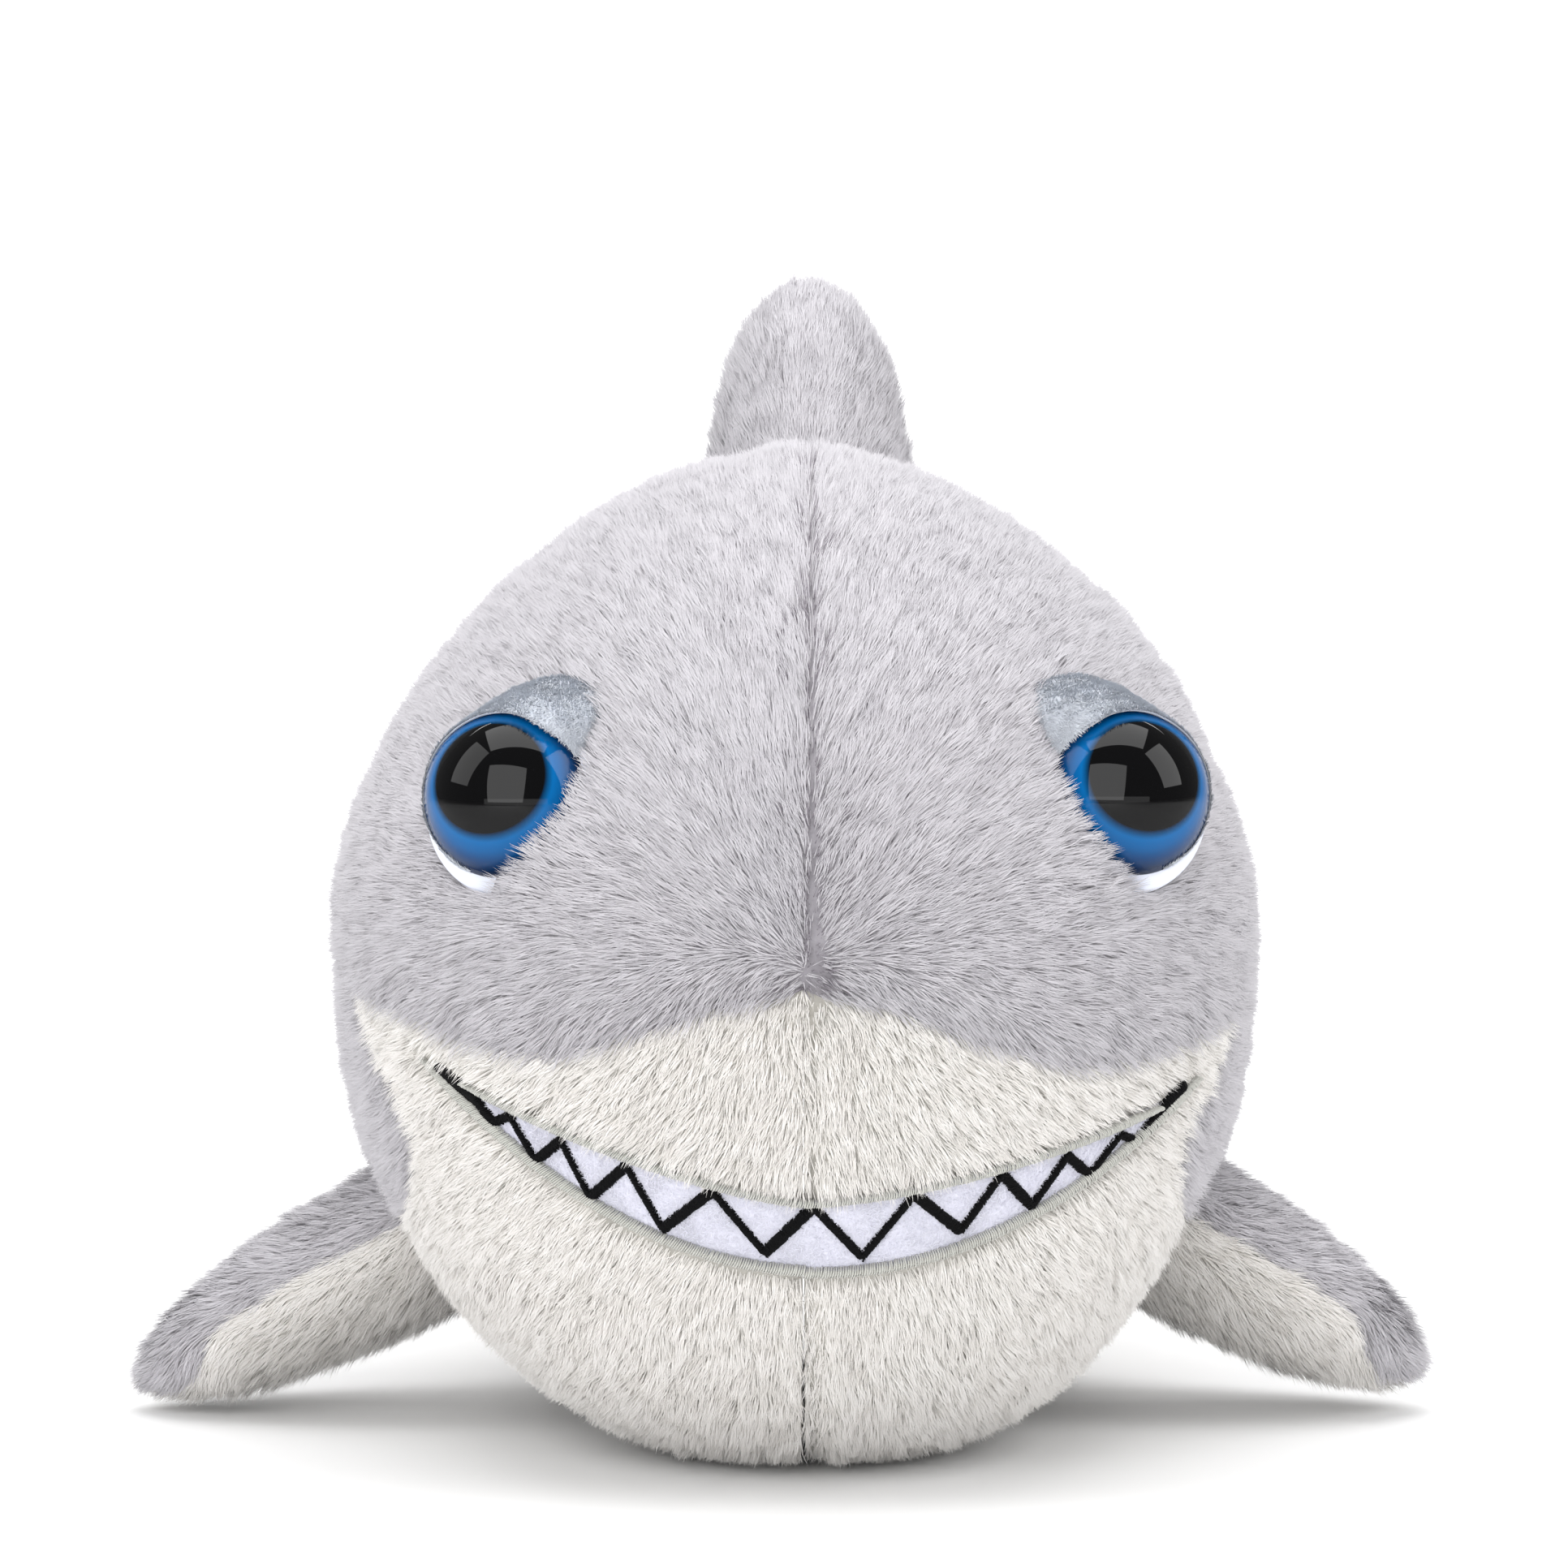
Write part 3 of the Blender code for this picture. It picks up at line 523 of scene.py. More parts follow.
def knit_material(name, colour, scale=900.0, depth=0.35):
    """Knitted backing: small cells for the loops, and clouding in the colour."""
    made, tree, shader = principled(name, colour, 0.85, Sheen_Weight=0.3, Specular_IOR_Level=0.2)
    place = add_node(tree, "TexCoord").outputs["Object"]
    cloud = add_node(tree, "TexNoise", place, Scale=160.0, Detail=5.0)
    dark, light = [c * 0.72 for c in colour], [min(1.0, c * 1.1) for c in colour]
    add_ramp(tree, shader, cloud.outputs["Fac"], ((0.3, dark), (0.7, light)))
    loops = add_node(tree, "TexVoronoi", place, Scale=scale)
    add_bump(tree, shader, loops.outputs["Distance"], depth, 0.0003)
    return made


def thread_material(name, colour, roughness, grain, sheen, gloss):
    """Twisted thread: a fine grain over the surface."""
    made, tree, shader = principled(name, colour, roughness, Sheen_Weight=sheen, Specular_IOR_Level=gloss)
    place = add_node(tree, "TexCoord").outputs["Object"]
    twist = add_node(tree, "TexNoise", place, Scale=grain, Detail=3.0)
    add_bump(tree, shader, twist.outputs["Fac"], 0.5, 0.0002)
    return made


def eye_material():
    """Moulded eye: black pupil, bright blue iris that darkens to a navy rim, under clear gloss. The bright blue
    next to the pupil is painted light, as the clear dome gathers it, and the darkening towards the rim is
    painted shade.
    """
    made, tree, shader = principled("eye_gloss", (0.0, 0.1, 0.3), 0.03, Specular_IOR_Level=0.25)
    around = add_node(tree, "UVMap")
    around.uv_map = "UVMap"
    split = add_node(tree, "SeparateXYZ", around.outputs["UV"])
    edge = PUPIL_RADIUS / EYE_RADIUS
    # The bright band next to the pupil is painted light, and the darkening towards the rim is painted shade
    stops = (
        (0.0, (0.0010, 0.0010, 0.0013)),
        (edge - 0.02, (0.0010, 0.0010, 0.0013)),
        (edge + 0.012, (0.0, 0.045, 0.13)),
        (edge + 0.06, (0.0, 0.112, 0.34)),
        (edge + 0.13, (0.0, 0.090, 0.28)),
        (0.90, (0.0, 0.042, 0.15)),
        (0.97, (0.001, 0.014, 0.055)),
        (1.0, (0.001, 0.008, 0.03)),
    )
    add_ramp(tree, shader, split.outputs["X"], stops)
    return made


def moulded_material(name, colour):
    """Plain moulded plastic with faint flow marks."""
    made, tree, shader = principled(name, colour, 0.35, Specular_IOR_Level=0.5)
    place = add_node(tree, "TexCoord").outputs["Object"]
    marks = add_node(tree, "TexNoise", place, Scale=240.0)
    add_wear(tree, shader, marks.outputs["Fac"], 0.28, 0.45)
    return made


def shades(name, root, middle, tips):
    """One root material, two middles and three tips, for strands. The root and middle colours go on the lower
    part of each blade and are mostly darker than the tips: painted shade deep in the pile.
    """
    made = [strand_material(name + "_root", root)]
    for k, gain in enumerate((0.9, 1.06)):
        made.append(strand_material(f"{name}_middle_{k + 1}", [min(1.0, c * gain) for c in middle]))
    for k, tip in enumerate(tips):
        made.append(strand_material(f"{name}_tip_{k + 1}", tip))
    return made


# Dark pile for the head seam: painted shade in its crease and in the gaps of the pile along it
SEAM_SHADE_PILE = shades(
    "seam_shade_pile", (0.12, 0.105, 0.125), (0.20, 0.18, 0.205),
    ((0.22, 0.20, 0.225), (0.28, 0.26, 0.29), (0.36, 0.34, 0.37)),
)
GREY_PILE = shades(
    "grey_pile", (0.40, 0.385, 0.41), (0.49, 0.475, 0.50),
    ((0.51, 0.495, 0.525), (0.545, 0.53, 0.56), (0.59, 0.575, 0.605)),
)
CREAM_PILE = shades(
    "cream_pile", (0.68, 0.655, 0.62), (0.77, 0.745, 0.71),
    ((0.79, 0.765, 0.73), (0.825, 0.80, 0.77), (0.86, 0.84, 0.815)),
)
LID_PILE = shades(
    "lid_pile", (0.50, 0.53, 0.58), (0.60, 0.63, 0.68),
    ((0.59, 0.62, 0.67), (0.63, 0.66, 0.71), (0.68, 0.71, 0.755)),
)
# Dark fuzz for the lid's edge: the dark cut edge on the outer side, and a painted shadow along the top where the
# lid meets the ball
RIM_AND_SHADOW_PILE = shades(
    "rim_and_shadow_pile", (0.07, 0.08, 0.11), (0.15, 0.165, 0.21),
    ((0.20, 0.22, 0.27), (0.34, 0.36, 0.42), (0.48, 0.50, 0.56)),
)
FELT_PILE = shades(
    "felt_pile", (0.55, 0.55, 0.64), (0.68, 0.68, 0.77),
    ((0.68, 0.68, 0.77), (0.73, 0.73, 0.82), (0.78, 0.78, 0.86)),
)
# The grey and cream backings are darker than their pile: painted shade deep among the roots
grey_skin = knit_material("grey_backing", (0.34, 0.325, 0.35))
cream_skin = knit_material("cream_backing", (0.52, 0.50, 0.46))
lid_skin = knit_material("lid_felt", (0.64, 0.67, 0.73), 1400.0)
felt_skin = knit_material("mouth_felt_fibres", (0.70, 0.70, 0.79), 1500.0, 0.5)
black_thread = thread_material("black_thread", (0.002, 0.002, 0.0025), 0.8, 5200.0, 0.0, 0.15)
pale_thread = thread_material("pale_thread", (0.50, 0.50, 0.465), 0.30, 6500.0, 0.15, 0.5)
eye_gloss = eye_material()
disc_white = moulded_material("disc_white", (0.76, 0.79, 0.90))
washer_plastic = moulded_material("washer_plastic", (0.75, 0.75, 0.75))


# ---------------------------------------------------------------- strands


def strands(name, roots, normals, comb, length, lean, width, materials, rng, tuft=0.45, floor=True):
    """Strands as several meshes of a moderate size each."""
    parts = max(1, math.ceil(len(roots) / MOST_STRANDS))
    made = []
    for k, part in enumerate(np.array_split(np.arange(len(roots)), parts)):
        label = name if parts == 1 else f"{name}_{k + 1}"
        wide = width[part] if np.ndim(width) else width
        angles = [a[part] if np.ndim(a) else a for a in lean]
        at = roots[part], normals[part], comb[part]
        made.append(strand_mesh(label, *at, length[part], angles, wide, materials, rng, tuft, floor))
    return made


def strand_mesh(name, roots, normals, comb, length, lean, width, materials, rng, tuft, floor):
    """Tapered blades as one mesh: five points and two faces each.

    lean is the angle off the normal, at the root and at the tip.
    """
    n = len(roots)
    comb = unit(comb - np.sum(comb * normals, axis=-1, keepdims=True) * normals)
    side = np.cross(normals, comb)
    pull, own = tufts(roots, TUFT_SIZE, 5)
    swing = rng.normal(0.0, 0.20, n) + 0.32 * noise(roots, 0.006, 21) + 0.20 * noise(roots, 0.0022, 22)
    comb = comb * np.cos(swing)[:, None] + side * np.sin(swing)[:, None]
    length = length * (0.80 + 0.25 * own + rng.uniform(-0.14, 0.14, n))
    first = lean[0] + rng.normal(0.0, 0.13, n) - 0.20 * (own - 0.5)
    last = lean[1] + rng.normal(0.0, 0.10, n) - 0.35 * (own - 0.5)
    pull = pull - np.sum(pull * normals, axis=-1, keepdims=True) * normals
    marks = [roots]
    for share, part in ((0.25, 0.45), (0.75, 0.55)):
        angle = first + (last - first) * share
        step = normals * np.cos(angle)[:, None] + comb * np.sin(angle)[:, None]
        marks.append(marks[-1] + step * (length * part)[:, None])
    marks = [m + pull * (tuft * share) for m, share in zip(marks, (0.0, 0.3, 1.0))]
    if floor:
        marks = [np.stack([m[:, 0], m[:, 1], np.maximum(m[:, 2], FLOOR_GAP)], axis=-1) for m in marks]
    along = unit(marks[2] - marks[0])
    flat = unit(np.cross(along, normals))
    other = np.cross(flat, along)
    roll = rng.normal(0.0, 0.35, n)
    across = flat * np.cos(roll)[:, None] + other * np.sin(roll)[:, None]
    wide = width * rng.uniform(0.75, 1.25, n)
    points = np.empty((n, 5, 3), np.float32)
    for k, share in enumerate((1.0, 0.8)):
        half = across * (wide * share / 2)[:, None]
        points[:, 2 * k] = marks[k] - half
        points[:, 2 * k + 1] = marks[k] + half
    points[:, 4] = marks[2]
    base = np.arange(n, dtype=np.int32)[:, None] * 5
    loops = (base + np.array([0, 1, 3, 2, 2, 3, 4], np.int32)).reshape(-1)
    starts = (np.arange(n, dtype=np.int32)[:, None] * 7 + np.array([0, 4], np.int32)).reshape(-1)
    # The lower face takes a root or middle colour and the upper face a tip colour. The lower colours are mostly
    # darker, painted shade deep in the pile, and which of them each blade takes varies at random
    light = np.clip(own * 0.6 + rng.uniform(0, 1, n) * 0.55, 0, 0.999)
    slots = np.stack([1 + (light > 0.5) - (light < 0.2), 3 + np.floor(light * 3)], axis=-1).astype(np.int32)
    mesh = bpy.data.meshes.new(name)
    mesh.vertices.add(5 * n)
    mesh.vertices.foreach_set("co", points.reshape(-1))
    mesh.loops.add(7 * n)
    mesh.loops.foreach_set("vertex_index", loops)
    mesh.polygons.add(2 * n)
    mesh.polygons.foreach_set("loop_start", starts)
    for material in materials:
        mesh.materials.append(material)
    mesh.polygons.foreach_set("material_index", slots.reshape(-1))
    mesh.update(calc_edges=True)
    mesh.shade_smooth()
    # Each blade is lit partly as the surface it stands on, as a dense pile is
    own_normal = unit(np.cross(across, along))
    own_normal *= np.sign(np.sum(own_normal * normals, axis=-1, keepdims=True))
    lit = unit(own_normal * (1 - PILE_EVENNESS) + normals * PILE_EVENNESS).astype(np.float32)
    layer = mesh.attributes.new("custom_normal", "FLOAT_VECTOR", "POINT")
    layer.data.foreach_set("vector", np.repeat(lit, 5, axis=0).reshape(-1))
    return link(name, mesh)


class Field:
    """A grid of surface points with values at each, sown with roots in even numbers per area."""

    def __init__(self, points, normals, **values):
        self.values = {"point": points, "normal": normals, **values}

    def sow(self, density, rng):
        p = self.values["point"]
        a = np.linalg.norm(np.cross(p[1:, :-1] - p[:-1, :-1], p[:-1, 1:] - p[:-1, :-1]), axis=-1)
        b = np.linalg.norm(np.cross(p[1:, :-1] - p[1:, 1:], p[:-1, 1:] - p[1:, 1:]), axis=-1)
        area = (a + b) / 2
        density = np.broadcast_to(density, p.shape[:2])
        total = np.cumsum((area * density[:-1, :-1]).reshape(-1))
        count = int(total[-1])
        at = (np.arange(count) + rng.uniform(0, 1, count)) * (total[-1] / count)
        cell = np.minimum(np.searchsorted(total, at), len(total) - 1)
        row, column = np.divmod(cell, p.shape[1] - 1)
        u, v = rng.uniform(0, 1, count), rng.uniform(0, 1, count)
        found = {}
        for name, grid in self.values.items():
            extra = (1,) * (grid.ndim - 2)
            uu, vv = u.reshape(-1, *extra), v.reshape(-1, *extra)
            low = grid[row, column] * (1 - vv) + grid[row, column + 1] * vv
            high = grid[row + 1, column] * (1 - vv) + grid[row + 1, column + 1] * vv
            found[name] = low * (1 - uu) + high * uu
        found["normal"] = unit(found["normal"])
        return found


def keep(sown, mask):
    """The sown roots for which the mask is true."""
    return {name: value[mask] for name, value in sown.items()}


# ---------------------------------------------------------------- stuffing pressure


def stuff(name, grid, pinned, pressure):
    """How far each point of a closed tube of cloth moves along its normal when blown up.

    The grid is rows by columns, and the tube is held where pinned is one.
    """
    rows, columns = grid.shape[:2]
    faces = grid_faces(rows, columns, wrap=True)
    faces.append(tuple(range(columns)))
    faces.append(tuple(range(rows * columns - 1, (rows - 1) * columns - 1, -1)))
    piece = mesh_object("stuffing_" + name, grid.reshape(-1, 3), faces)
    shape = piece.data
    volume = 0.0
    for face in faces:
        a, b, c = (shape.vertices[k].co for k in face[:3])
        volume += a.dot(b.cross(c))
    if volume < 0:
        shape.flip_normals()
    before = np.empty(rows * columns * 3)
    shape.vertices.foreach_get("co", before)
    normal = np.array([v.normal[:] for v in shape.vertices])
    held = piece.vertex_groups.new(name="held")
    for index, weight in enumerate(pinned.reshape(-1)):
        held.add([index], float(weight), "REPLACE")
    cloth = piece.modifiers.new("cloth", "CLOTH")
    settings = cloth.settings
    settings.quality = 6
    settings.mass = 0.05
    settings.tension_stiffness = 8.0
    settings.compression_stiffness = 8.0
    settings.vertex_group_mass = "held"
    settings.use_pressure = True
    settings.uniform_pressure_force = pressure
    settings.effector_weights.gravity = 0.0
    cloth.collision_settings.use_collision = False
    scene = bpy.context.scene
    for frame_number in range(1, CLOTH_FRAMES + 1):
        scene.frame_set(frame_number)
    done = piece.evaluated_get(bpy.context.evaluated_depsgraph_get())
    after = np.empty(rows * columns * 3)
    done.data.vertices.foreach_get("co", after)
    scene.frame_set(1)
    bpy.data.objects.remove(piece)
    bpy.data.meshes.remove(shape)
    move = np.sum((after - before).reshape(-1, 3) * normal, axis=-1).reshape(rows, columns)
    move = np.clip(move, -CLOTH_MOST, CLOTH_MOST)
    return move * (1 - pinned)


def look_up(values, row, column):
    """Values of a grid between its points. Columns go round."""
    row = np.clip(row, 0, values.shape[0] - 1.001)
    r, c = np.floor(row).astype(int), np.floor(column).astype(int)
    u, v = row - r, column - c
    c0, c1 = c % values.shape[1], (c + 1) % values.shape[1]
    low = values[r, c0] * (1 - v) + values[r, c1] * v
    high = values[r + 1, c0] * (1 - v) + values[r + 1, c1] * v
    return low * (1 - u) + high * u


class Stuffed:
    """The body blown up from inside. The face is held, and so are the seams along the middle."""

    def __init__(self):
        self.rows = stations(30, 26)[1:]
        count = 28
        turns = np.arange(2 * count) / count * math.pi
        y, turn = np.meshgrid(self.rows, turns, indexing="ij")
        right = turn <= math.pi
        grid = body_point(y, np.where(right, turn, 2 * math.pi - turn))
        grid[..., 0] *= np.where(right, 1, -1)
        pinned = smooth(y, -0.070, -0.095)
        pinned[:, (0, count)] = 1.0
        pinned[-2:] = 1.0
        pinned = np.maximum(pinned, smooth(grid[..., 2], 0.012, 0.004))
        self.count = count
        self.move = stuff("body", grid, pinned, BODY_PRESSURE)

    def at(self, side, y, turn):
        column = turn / math.pi * self.count
        if side < 0:
            column = 2 * self.count - column
        return look_up(self.move, np.interp(y, self.rows, np.arange(len(self.rows))), column)


STUFFED = Stuffed()


# ---------------------------------------------------------------- body


def inside(px, py, corners):
    """Even-odd test of points against a closed outline."""
    result = np.zeros(px.shape, bool)
    for (ax, ay), (bx, by) in zip(corners, np.roll(corners, -1, axis=0)):
        crosses = (ay > py) != (by > py)
        with np.errstate(divide="ignore", invalid="ignore"):
            at = ax + (py - ay) / (by - ay) * (bx - ax)
        result ^= crosses & (px < at)
    return result


def seam_curve(edge, side):
    """The grey and cream seam as many points on the surface, and in run and turn."""
    edge = np.array(edge) * MM
    share = np.linspace(0, len(edge) - 1, 12 * len(edge))
    whole = np.minimum(np.floor(share).astype(int), len(edge) - 2)
    part = (share - whole)[:, None]
    padded = np.vstack([2 * edge[0] - edge[1], edge, 2 * edge[-1] - edge[-2]])
    p0, p1, p2, p3 = (padded[whole + k] for k in range(4))
    bend, twist = 2 * p0 - 5 * p1 + 4 * p2 - p3, 3 * p1 - p0 - 3 * p2 + p3
    path = 0.5 * (2 * p1 + (p2 - p0) * part + bend * part**2 + twist * part**3)
    y = np.maximum(path[:, 0], NOSE_Y + 1e-5)
    turn = turn_at_height(y, path[:, 1])
    points = body_point(y, turn) * np.array([side, 1, 1])
    return points, np.stack([run_of(y), turn], axis=-1)


def distance_to(points, path):
    """How far each point is from the nearest point of a path."""
    flat = points.reshape(-1, 3)
    best = np.full(len(flat), np.inf)
    for start in range(0, len(path), 24):
        d = np.linalg.norm(flat[:, None] - path[None, start : start + 24], axis=-1).min(axis=1)
        best = np.minimum(best, d)
    return best.reshape(points.shape[:-1])


def eye_frame(side):
    """Where an eye sits on the face, and the ways that it looks, up and out."""
    x, z = EYE_AT[side]
    y = float(surface_y(np.array([x]), np.array([z]))[0])
    look = np.array(
        [
            side * math.sin(EYE_YAW) * math.cos(EYE_PITCH),
            -math.cos(EYE_YAW) * math.cos(EYE_PITCH),
            math.sin(EYE_PITCH),
        ]
    )
    up = np.array([0.0, 0.0, 1.0])
    up = unit(up - look * np.dot(up, look))
    out = np.cross(up, look) * -side
    if out[0] * side < 0:
        out = -out
    return np.array([side * x, y, z]), look, up, out


def lid_width(degrees):
    """How wide the eyelid is at an angle round the eye: 0 is its outer side and 90 its top."""
    at = (-75, -60, 20, 45, 65, 80, 100, 113, 124, 136, 148, 156)
    wide = (0.0, 1.2, 1.4, 2.0, 3.6, 5.4, 7.8, 9.0, 9.3, 6.6, 1.8, 0.0)
    return np.interp(degrees, at, wide) * MM


def swelling(side, point):
    """How far the stuffing stands out at a point.

    The left side is a little fuller, and there is a soft lump at each brow, temple and fin root.
    """
    centre, look, up, out = eye_frame(side)
    shoulder = smooth(point[..., 2], 0.122, 0.150)
    wide = smooth(np.abs(point[..., 0]), 0.040, 0.075)
    upper = shoulder * smooth(np.abs(point[..., 0]), 0.008, 0.030)
    cheek = wide * (1 - shoulder)
    swell = 0.0012 * cheek + 0.0018 * upper if side < 0 else 0.0004 * upper - 0.0021 * cheek
    temple = centre + out * 0.0175 - look * 0.0050
    swell = swell + 0.0030 * np.exp(-((np.linalg.norm(point - temple, axis=-1) / 0.0100) ** 2))
    brow = centre - out * 0.0125 - up * 0.0095
    root = np.array([side * 0.080, -0.045, 0.056])
    swell = swell + 0.0024 * np.exp(-((np.linalg.norm(point - root, axis=-1) / 0.020) ** 2))
    return swell + 0.0026 * np.exp(-((np.linalg.norm(point - brow, axis=-1) / 0.0085) ** 2))


def body_side(side, word, rng):
    """One side of the body: its pile, and the skins under it."""
    rows = stations(110, 90, BODY_END_Y + 0.004)
    turns = np.linspace(0.004, math.pi - 0.004, 170)
    y, turn = np.meshgrid(rows, turns, indexing="ij")
    point = body_point(y, turn) * np.array([side, 1, 1])
    normal = grid_normals(point, flip=side < 0)
    normal[0] = (0, -1, 0)
    centre, look, up, out = eye_frame(side)
    swell = swelling(side, point) + STUFFED.at(side, y, turn)
    point = point + normal * swell[..., None]
    point[..., 2] = np.maximum(point[..., 2], 0.0)
    backward = unit(np.gradient(point, axis=0))
    seam, outline = seam_curve(EDGE_LEFT if side < 0 else EDGE_RIGHT, side)
    beyond = run_of(np.array(0.12))
    round_the_belly = [[beyond, outline[-1, 1]], [beyond, 4.0], [-0.5, 4.0], [-0.5, outline[0, 1]]]
    corners = np.vstack([outline, round_the_belly])
    x, z = point[..., 0], point[..., 2]
    to_seam = distance_to(point, seam)
    seam_x = SEAM_X * smooth(y, -0.02, -0.06)
    to_middle = np.abs(x - seam_x)

    # How deep the skin lies: it dips at every seam
    pinch = 0.0009 * np.exp(-((to_seam / 0.0024) ** 2))
    forward = smooth(y, -0.02, -0.06)
    brow_line = smooth(z, 0.086, 0.092) * forward
    nose = brow_line * smooth(z, 0.128, 0.104)
    chin = smooth(z, 0.040, 0.034) * smooth(y, -0.06, -0.10)
    crease = 0.0006 + 0.0005 * brow_line + 0.0009 * nose + 0.0014 * chin
    pinch = pinch + crease * np.exp(-((to_middle / 0.0019) ** 2))
    depth = SKIN_DEPTH + pinch
    skin = point - normal * depth[..., None]
    skin[..., 2] = np.maximum(skin[..., 2], 0.0016)

    # Which way the pile lies
    down = np.array([0.0, 0.0, -1.0]) - normal * (-normal[..., 2:3])
    outward = np.array([side, 0.0, 0.0]) - normal * (side * normal[..., 0:1])
    under = smooth(-normal[..., 2], 0.45, 0.8)[..., None]
    hang = smooth(to_seam, 0.012, 0.002)[..., None] * smooth(y, -0.085, -0.105)[..., None]
    grey_comb = backward + down * 0.25
    away_from_seam = unit(outward) * np.sign(side * (x - seam_x))[..., None]
    grey_comb = unit(grey_comb) * (1 - 0.75 * hang) + (unit(down) + 0.55 * unit(outward)) * 0.75 * hang
    rise = np.exp(-((to_middle / 0.0050) ** 2)) * smooth(z, 0.083, 0.088) * forward
    rise = np.maximum(rise, np.exp(-((to_middle / 0.0075) ** 2) - ((z - 0.0935) / 0.0060) ** 2))
    grey_comb = unit(grey_comb) + 0.5 * away_from_seam * rise[..., None]
    spread = smooth(to_middle, 0.0, 0.05)[..., None]
    lips = smooth(z, 0.03, 0.07)[..., None]
    cream_comb = unit(down) + unit(outward) * (0.10 + 0.9 * spread) * (0.6 + 0.4 * lips)
    cream_comb = unit(cream_comb) * (1 - under) + backward * under
    far = smooth(y, -0.095, -0.06)[..., None]
    cream_comb = cream_comb * (1 - far) + backward * far

    thin = 0.45 + 0.55 * smooth(y, 0.01, -0.05)
    combs = {"grey": grey_comb, "cream": cream_comb}
    field = Field(point, normal, skin=skin, **combs, seam=to_seam, turn=turn, thin=thin, rise=rise)
    sown = field.sow(DENSITY * thin, rng)
    p = sown["point"]
    is_cream = inside(run_of(p[:, 1]), sown["turn"], corners)

    # No roots under the mouth felt and its borders, or under the eye
    front = p[:, 1] < -0.09
    low, high = mouth_line(p[:, 0], MOUTH_BOTTOM), mouth_line(p[:, 0], MOUTH_TOP)
    high = np.maximum(high, low)
    corner = smooth(np.abs(p[:, 0]), 0.040, 0.060)
    in_band = (p[:, 2] > low - 0.0016) & (p[:, 2] < high + 0.0015 + 0.0012 * corner)
    in_mouth = front & in_band & (np.abs(p[:, 0]) < MOUTH_HALF + 0.0025)
    in_seam = (np.abs(p[:, 0] - SEAM_X) < SEAM_BARE) & (p[:, 1] < -0.05)
    in_seam &= rng.uniform(0, 1, len(p)) < 0.8
    away = p - centre
    flat = away - (away @ look)[:, None] * look
    radius = np.linalg.norm(flat, axis=-1)
    facing = np.arctan2(flat @ up, flat @ out)
    rim = np.interp(np.degrees(facing) % 360, CLEAR_AT, CLEAR_RADIUS) * MM
    clear = rim + np.maximum(lid_width(np.degrees(facing)) - 0.0014, 0.0)
    in_eye = (radius < clear) & (p[:, 1] < -0.06) & (p[:, 2] > 0.09)
    bare = in_mouth | in_eye | in_seam
    sown = keep(sown, ~bare)
    is_cream = is_cream[~bare]

    # The pile parts along the head seam. Strands close to it (most of all low on the brow) and in patches along
    # it take the dark seam colours: painted shade in the crease and in the gaps of the pile
    p = sown["point"]
    off = np.abs(p[:, 0] - SEAM_X)
    low_brow = smooth(p[:, 2], 0.112, 0.100)
    patches = noise(p, 0.0042, 61) + 0.35 * noise(p, 0.0017, 62)
    shaded_gaps = smooth(patches, 0.22, 0.50) * smooth(off, 0.0075, 0.0025)
    line = smooth(off, 0.0016, 0.0006) * (0.45 + 0.55 * low_brow)
    # These strands get the dark seam colours, which are painted shade
    dark = rng.uniform(0, 1, len(p)) < np.maximum(line, 0.75 * shaded_gaps)
    dark &= (sown["rise"] > 0.02) & ~is_cream

    for name, mask, comb, materials, reach in (
        ("grey", ~is_cream & ~dark, "grey", GREY_PILE, 1.0),
        ("seam", dark, "grey", SEAM_SHADE_PILE, 0.8),
        ("cream", is_cream, "cream", CREAM_PILE, 0.82),
    ):
        s = keep(sown, mask)
        length = STRAND_LENGTH * (1 + 0.12 * smooth(s["seam"], 0.004, 0.0)) * reach
        lean = (LEAN[0] - 0.40 * s["rise"], LEAN[1] - 0.65 * s["rise"])
        width = STRAND_WIDTH / np.sqrt(s["thin"])
        roots = s["skin"], s["normal"], s[comb]
        furs = strands(f"{name}_pile_{word}", *roots, length, lean, width, materials, rng)
        dress(furs)
    body_skins(side, word, seam)


def body_skins(side, word, seam):
    """The skins under the pile of one side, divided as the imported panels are."""
    rows = stations(44, 40)
    seam_y, seam_z = np.array(SKIN_SPLIT).T * MM
    split = turn_at_height(rows, np.interp(rows, seam_y, seam_z))
    top, bottom = np.full_like(split, 0.002), np.full_like(split, math.pi - 0.002)
    for name, start, end, material, slot, nodes in (
        ("back_skin_", top, split, grey_skin, "grey_plush", ["back_panel_"]),
        ("face_belly_skin_", split, bottom, cream_skin, "cream_plush", ["face_belly_panel_"]),
    ):
        share = np.linspace(0, 1, 41)
        t = start[:, None] * (1 - share) + end[:, None] * share
        yy = np.repeat(rows[:, None], 41, axis=1)
        grid = body_point(yy, t) * np.array([side, 1, 1])
        step = 1e-4
        n = np.cross(
            body_point(yy, t + step) - body_point(yy, t - step),
            body_point(yy + 5e-7, t) - body_point(yy - 5e-7, t),
        )
        n = unit(n) * np.array([side, 1, 1])
        n[0] = (0, -1, 0)
        grid = grid + n * (swelling(side, grid) + STUFFED.at(side, yy, t))[..., None]
        to_mid = np.abs(grid[..., 0])
        to_edge = distance_to(grid, seam)
        dip = 0.0009 * np.exp(-((to_edge / 0.0024) ** 2)) + 0.0010 * np.exp(-((to_mid / 0.0022) ** 2))
        outer = grid - n * (SKIN_DEPTH + dip)[..., None]
        inner = grid - n * (SKIN_DEPTH + dip + SKIN_THICKNESS)[..., None]
        outer[..., 2] = np.maximum(outer[..., 2], 0.0012)
        inner[..., 2] = np.maximum(inner[..., 2], 0.0022)
        made_skin = shell(name + word, outer, inner, material)
        dress([made_skin])
        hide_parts(*[node + word for node in nodes])
        if side < 0 and "back" in name:
            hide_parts("body_stuffing")


# ---------------------------------------------------------------- mouth


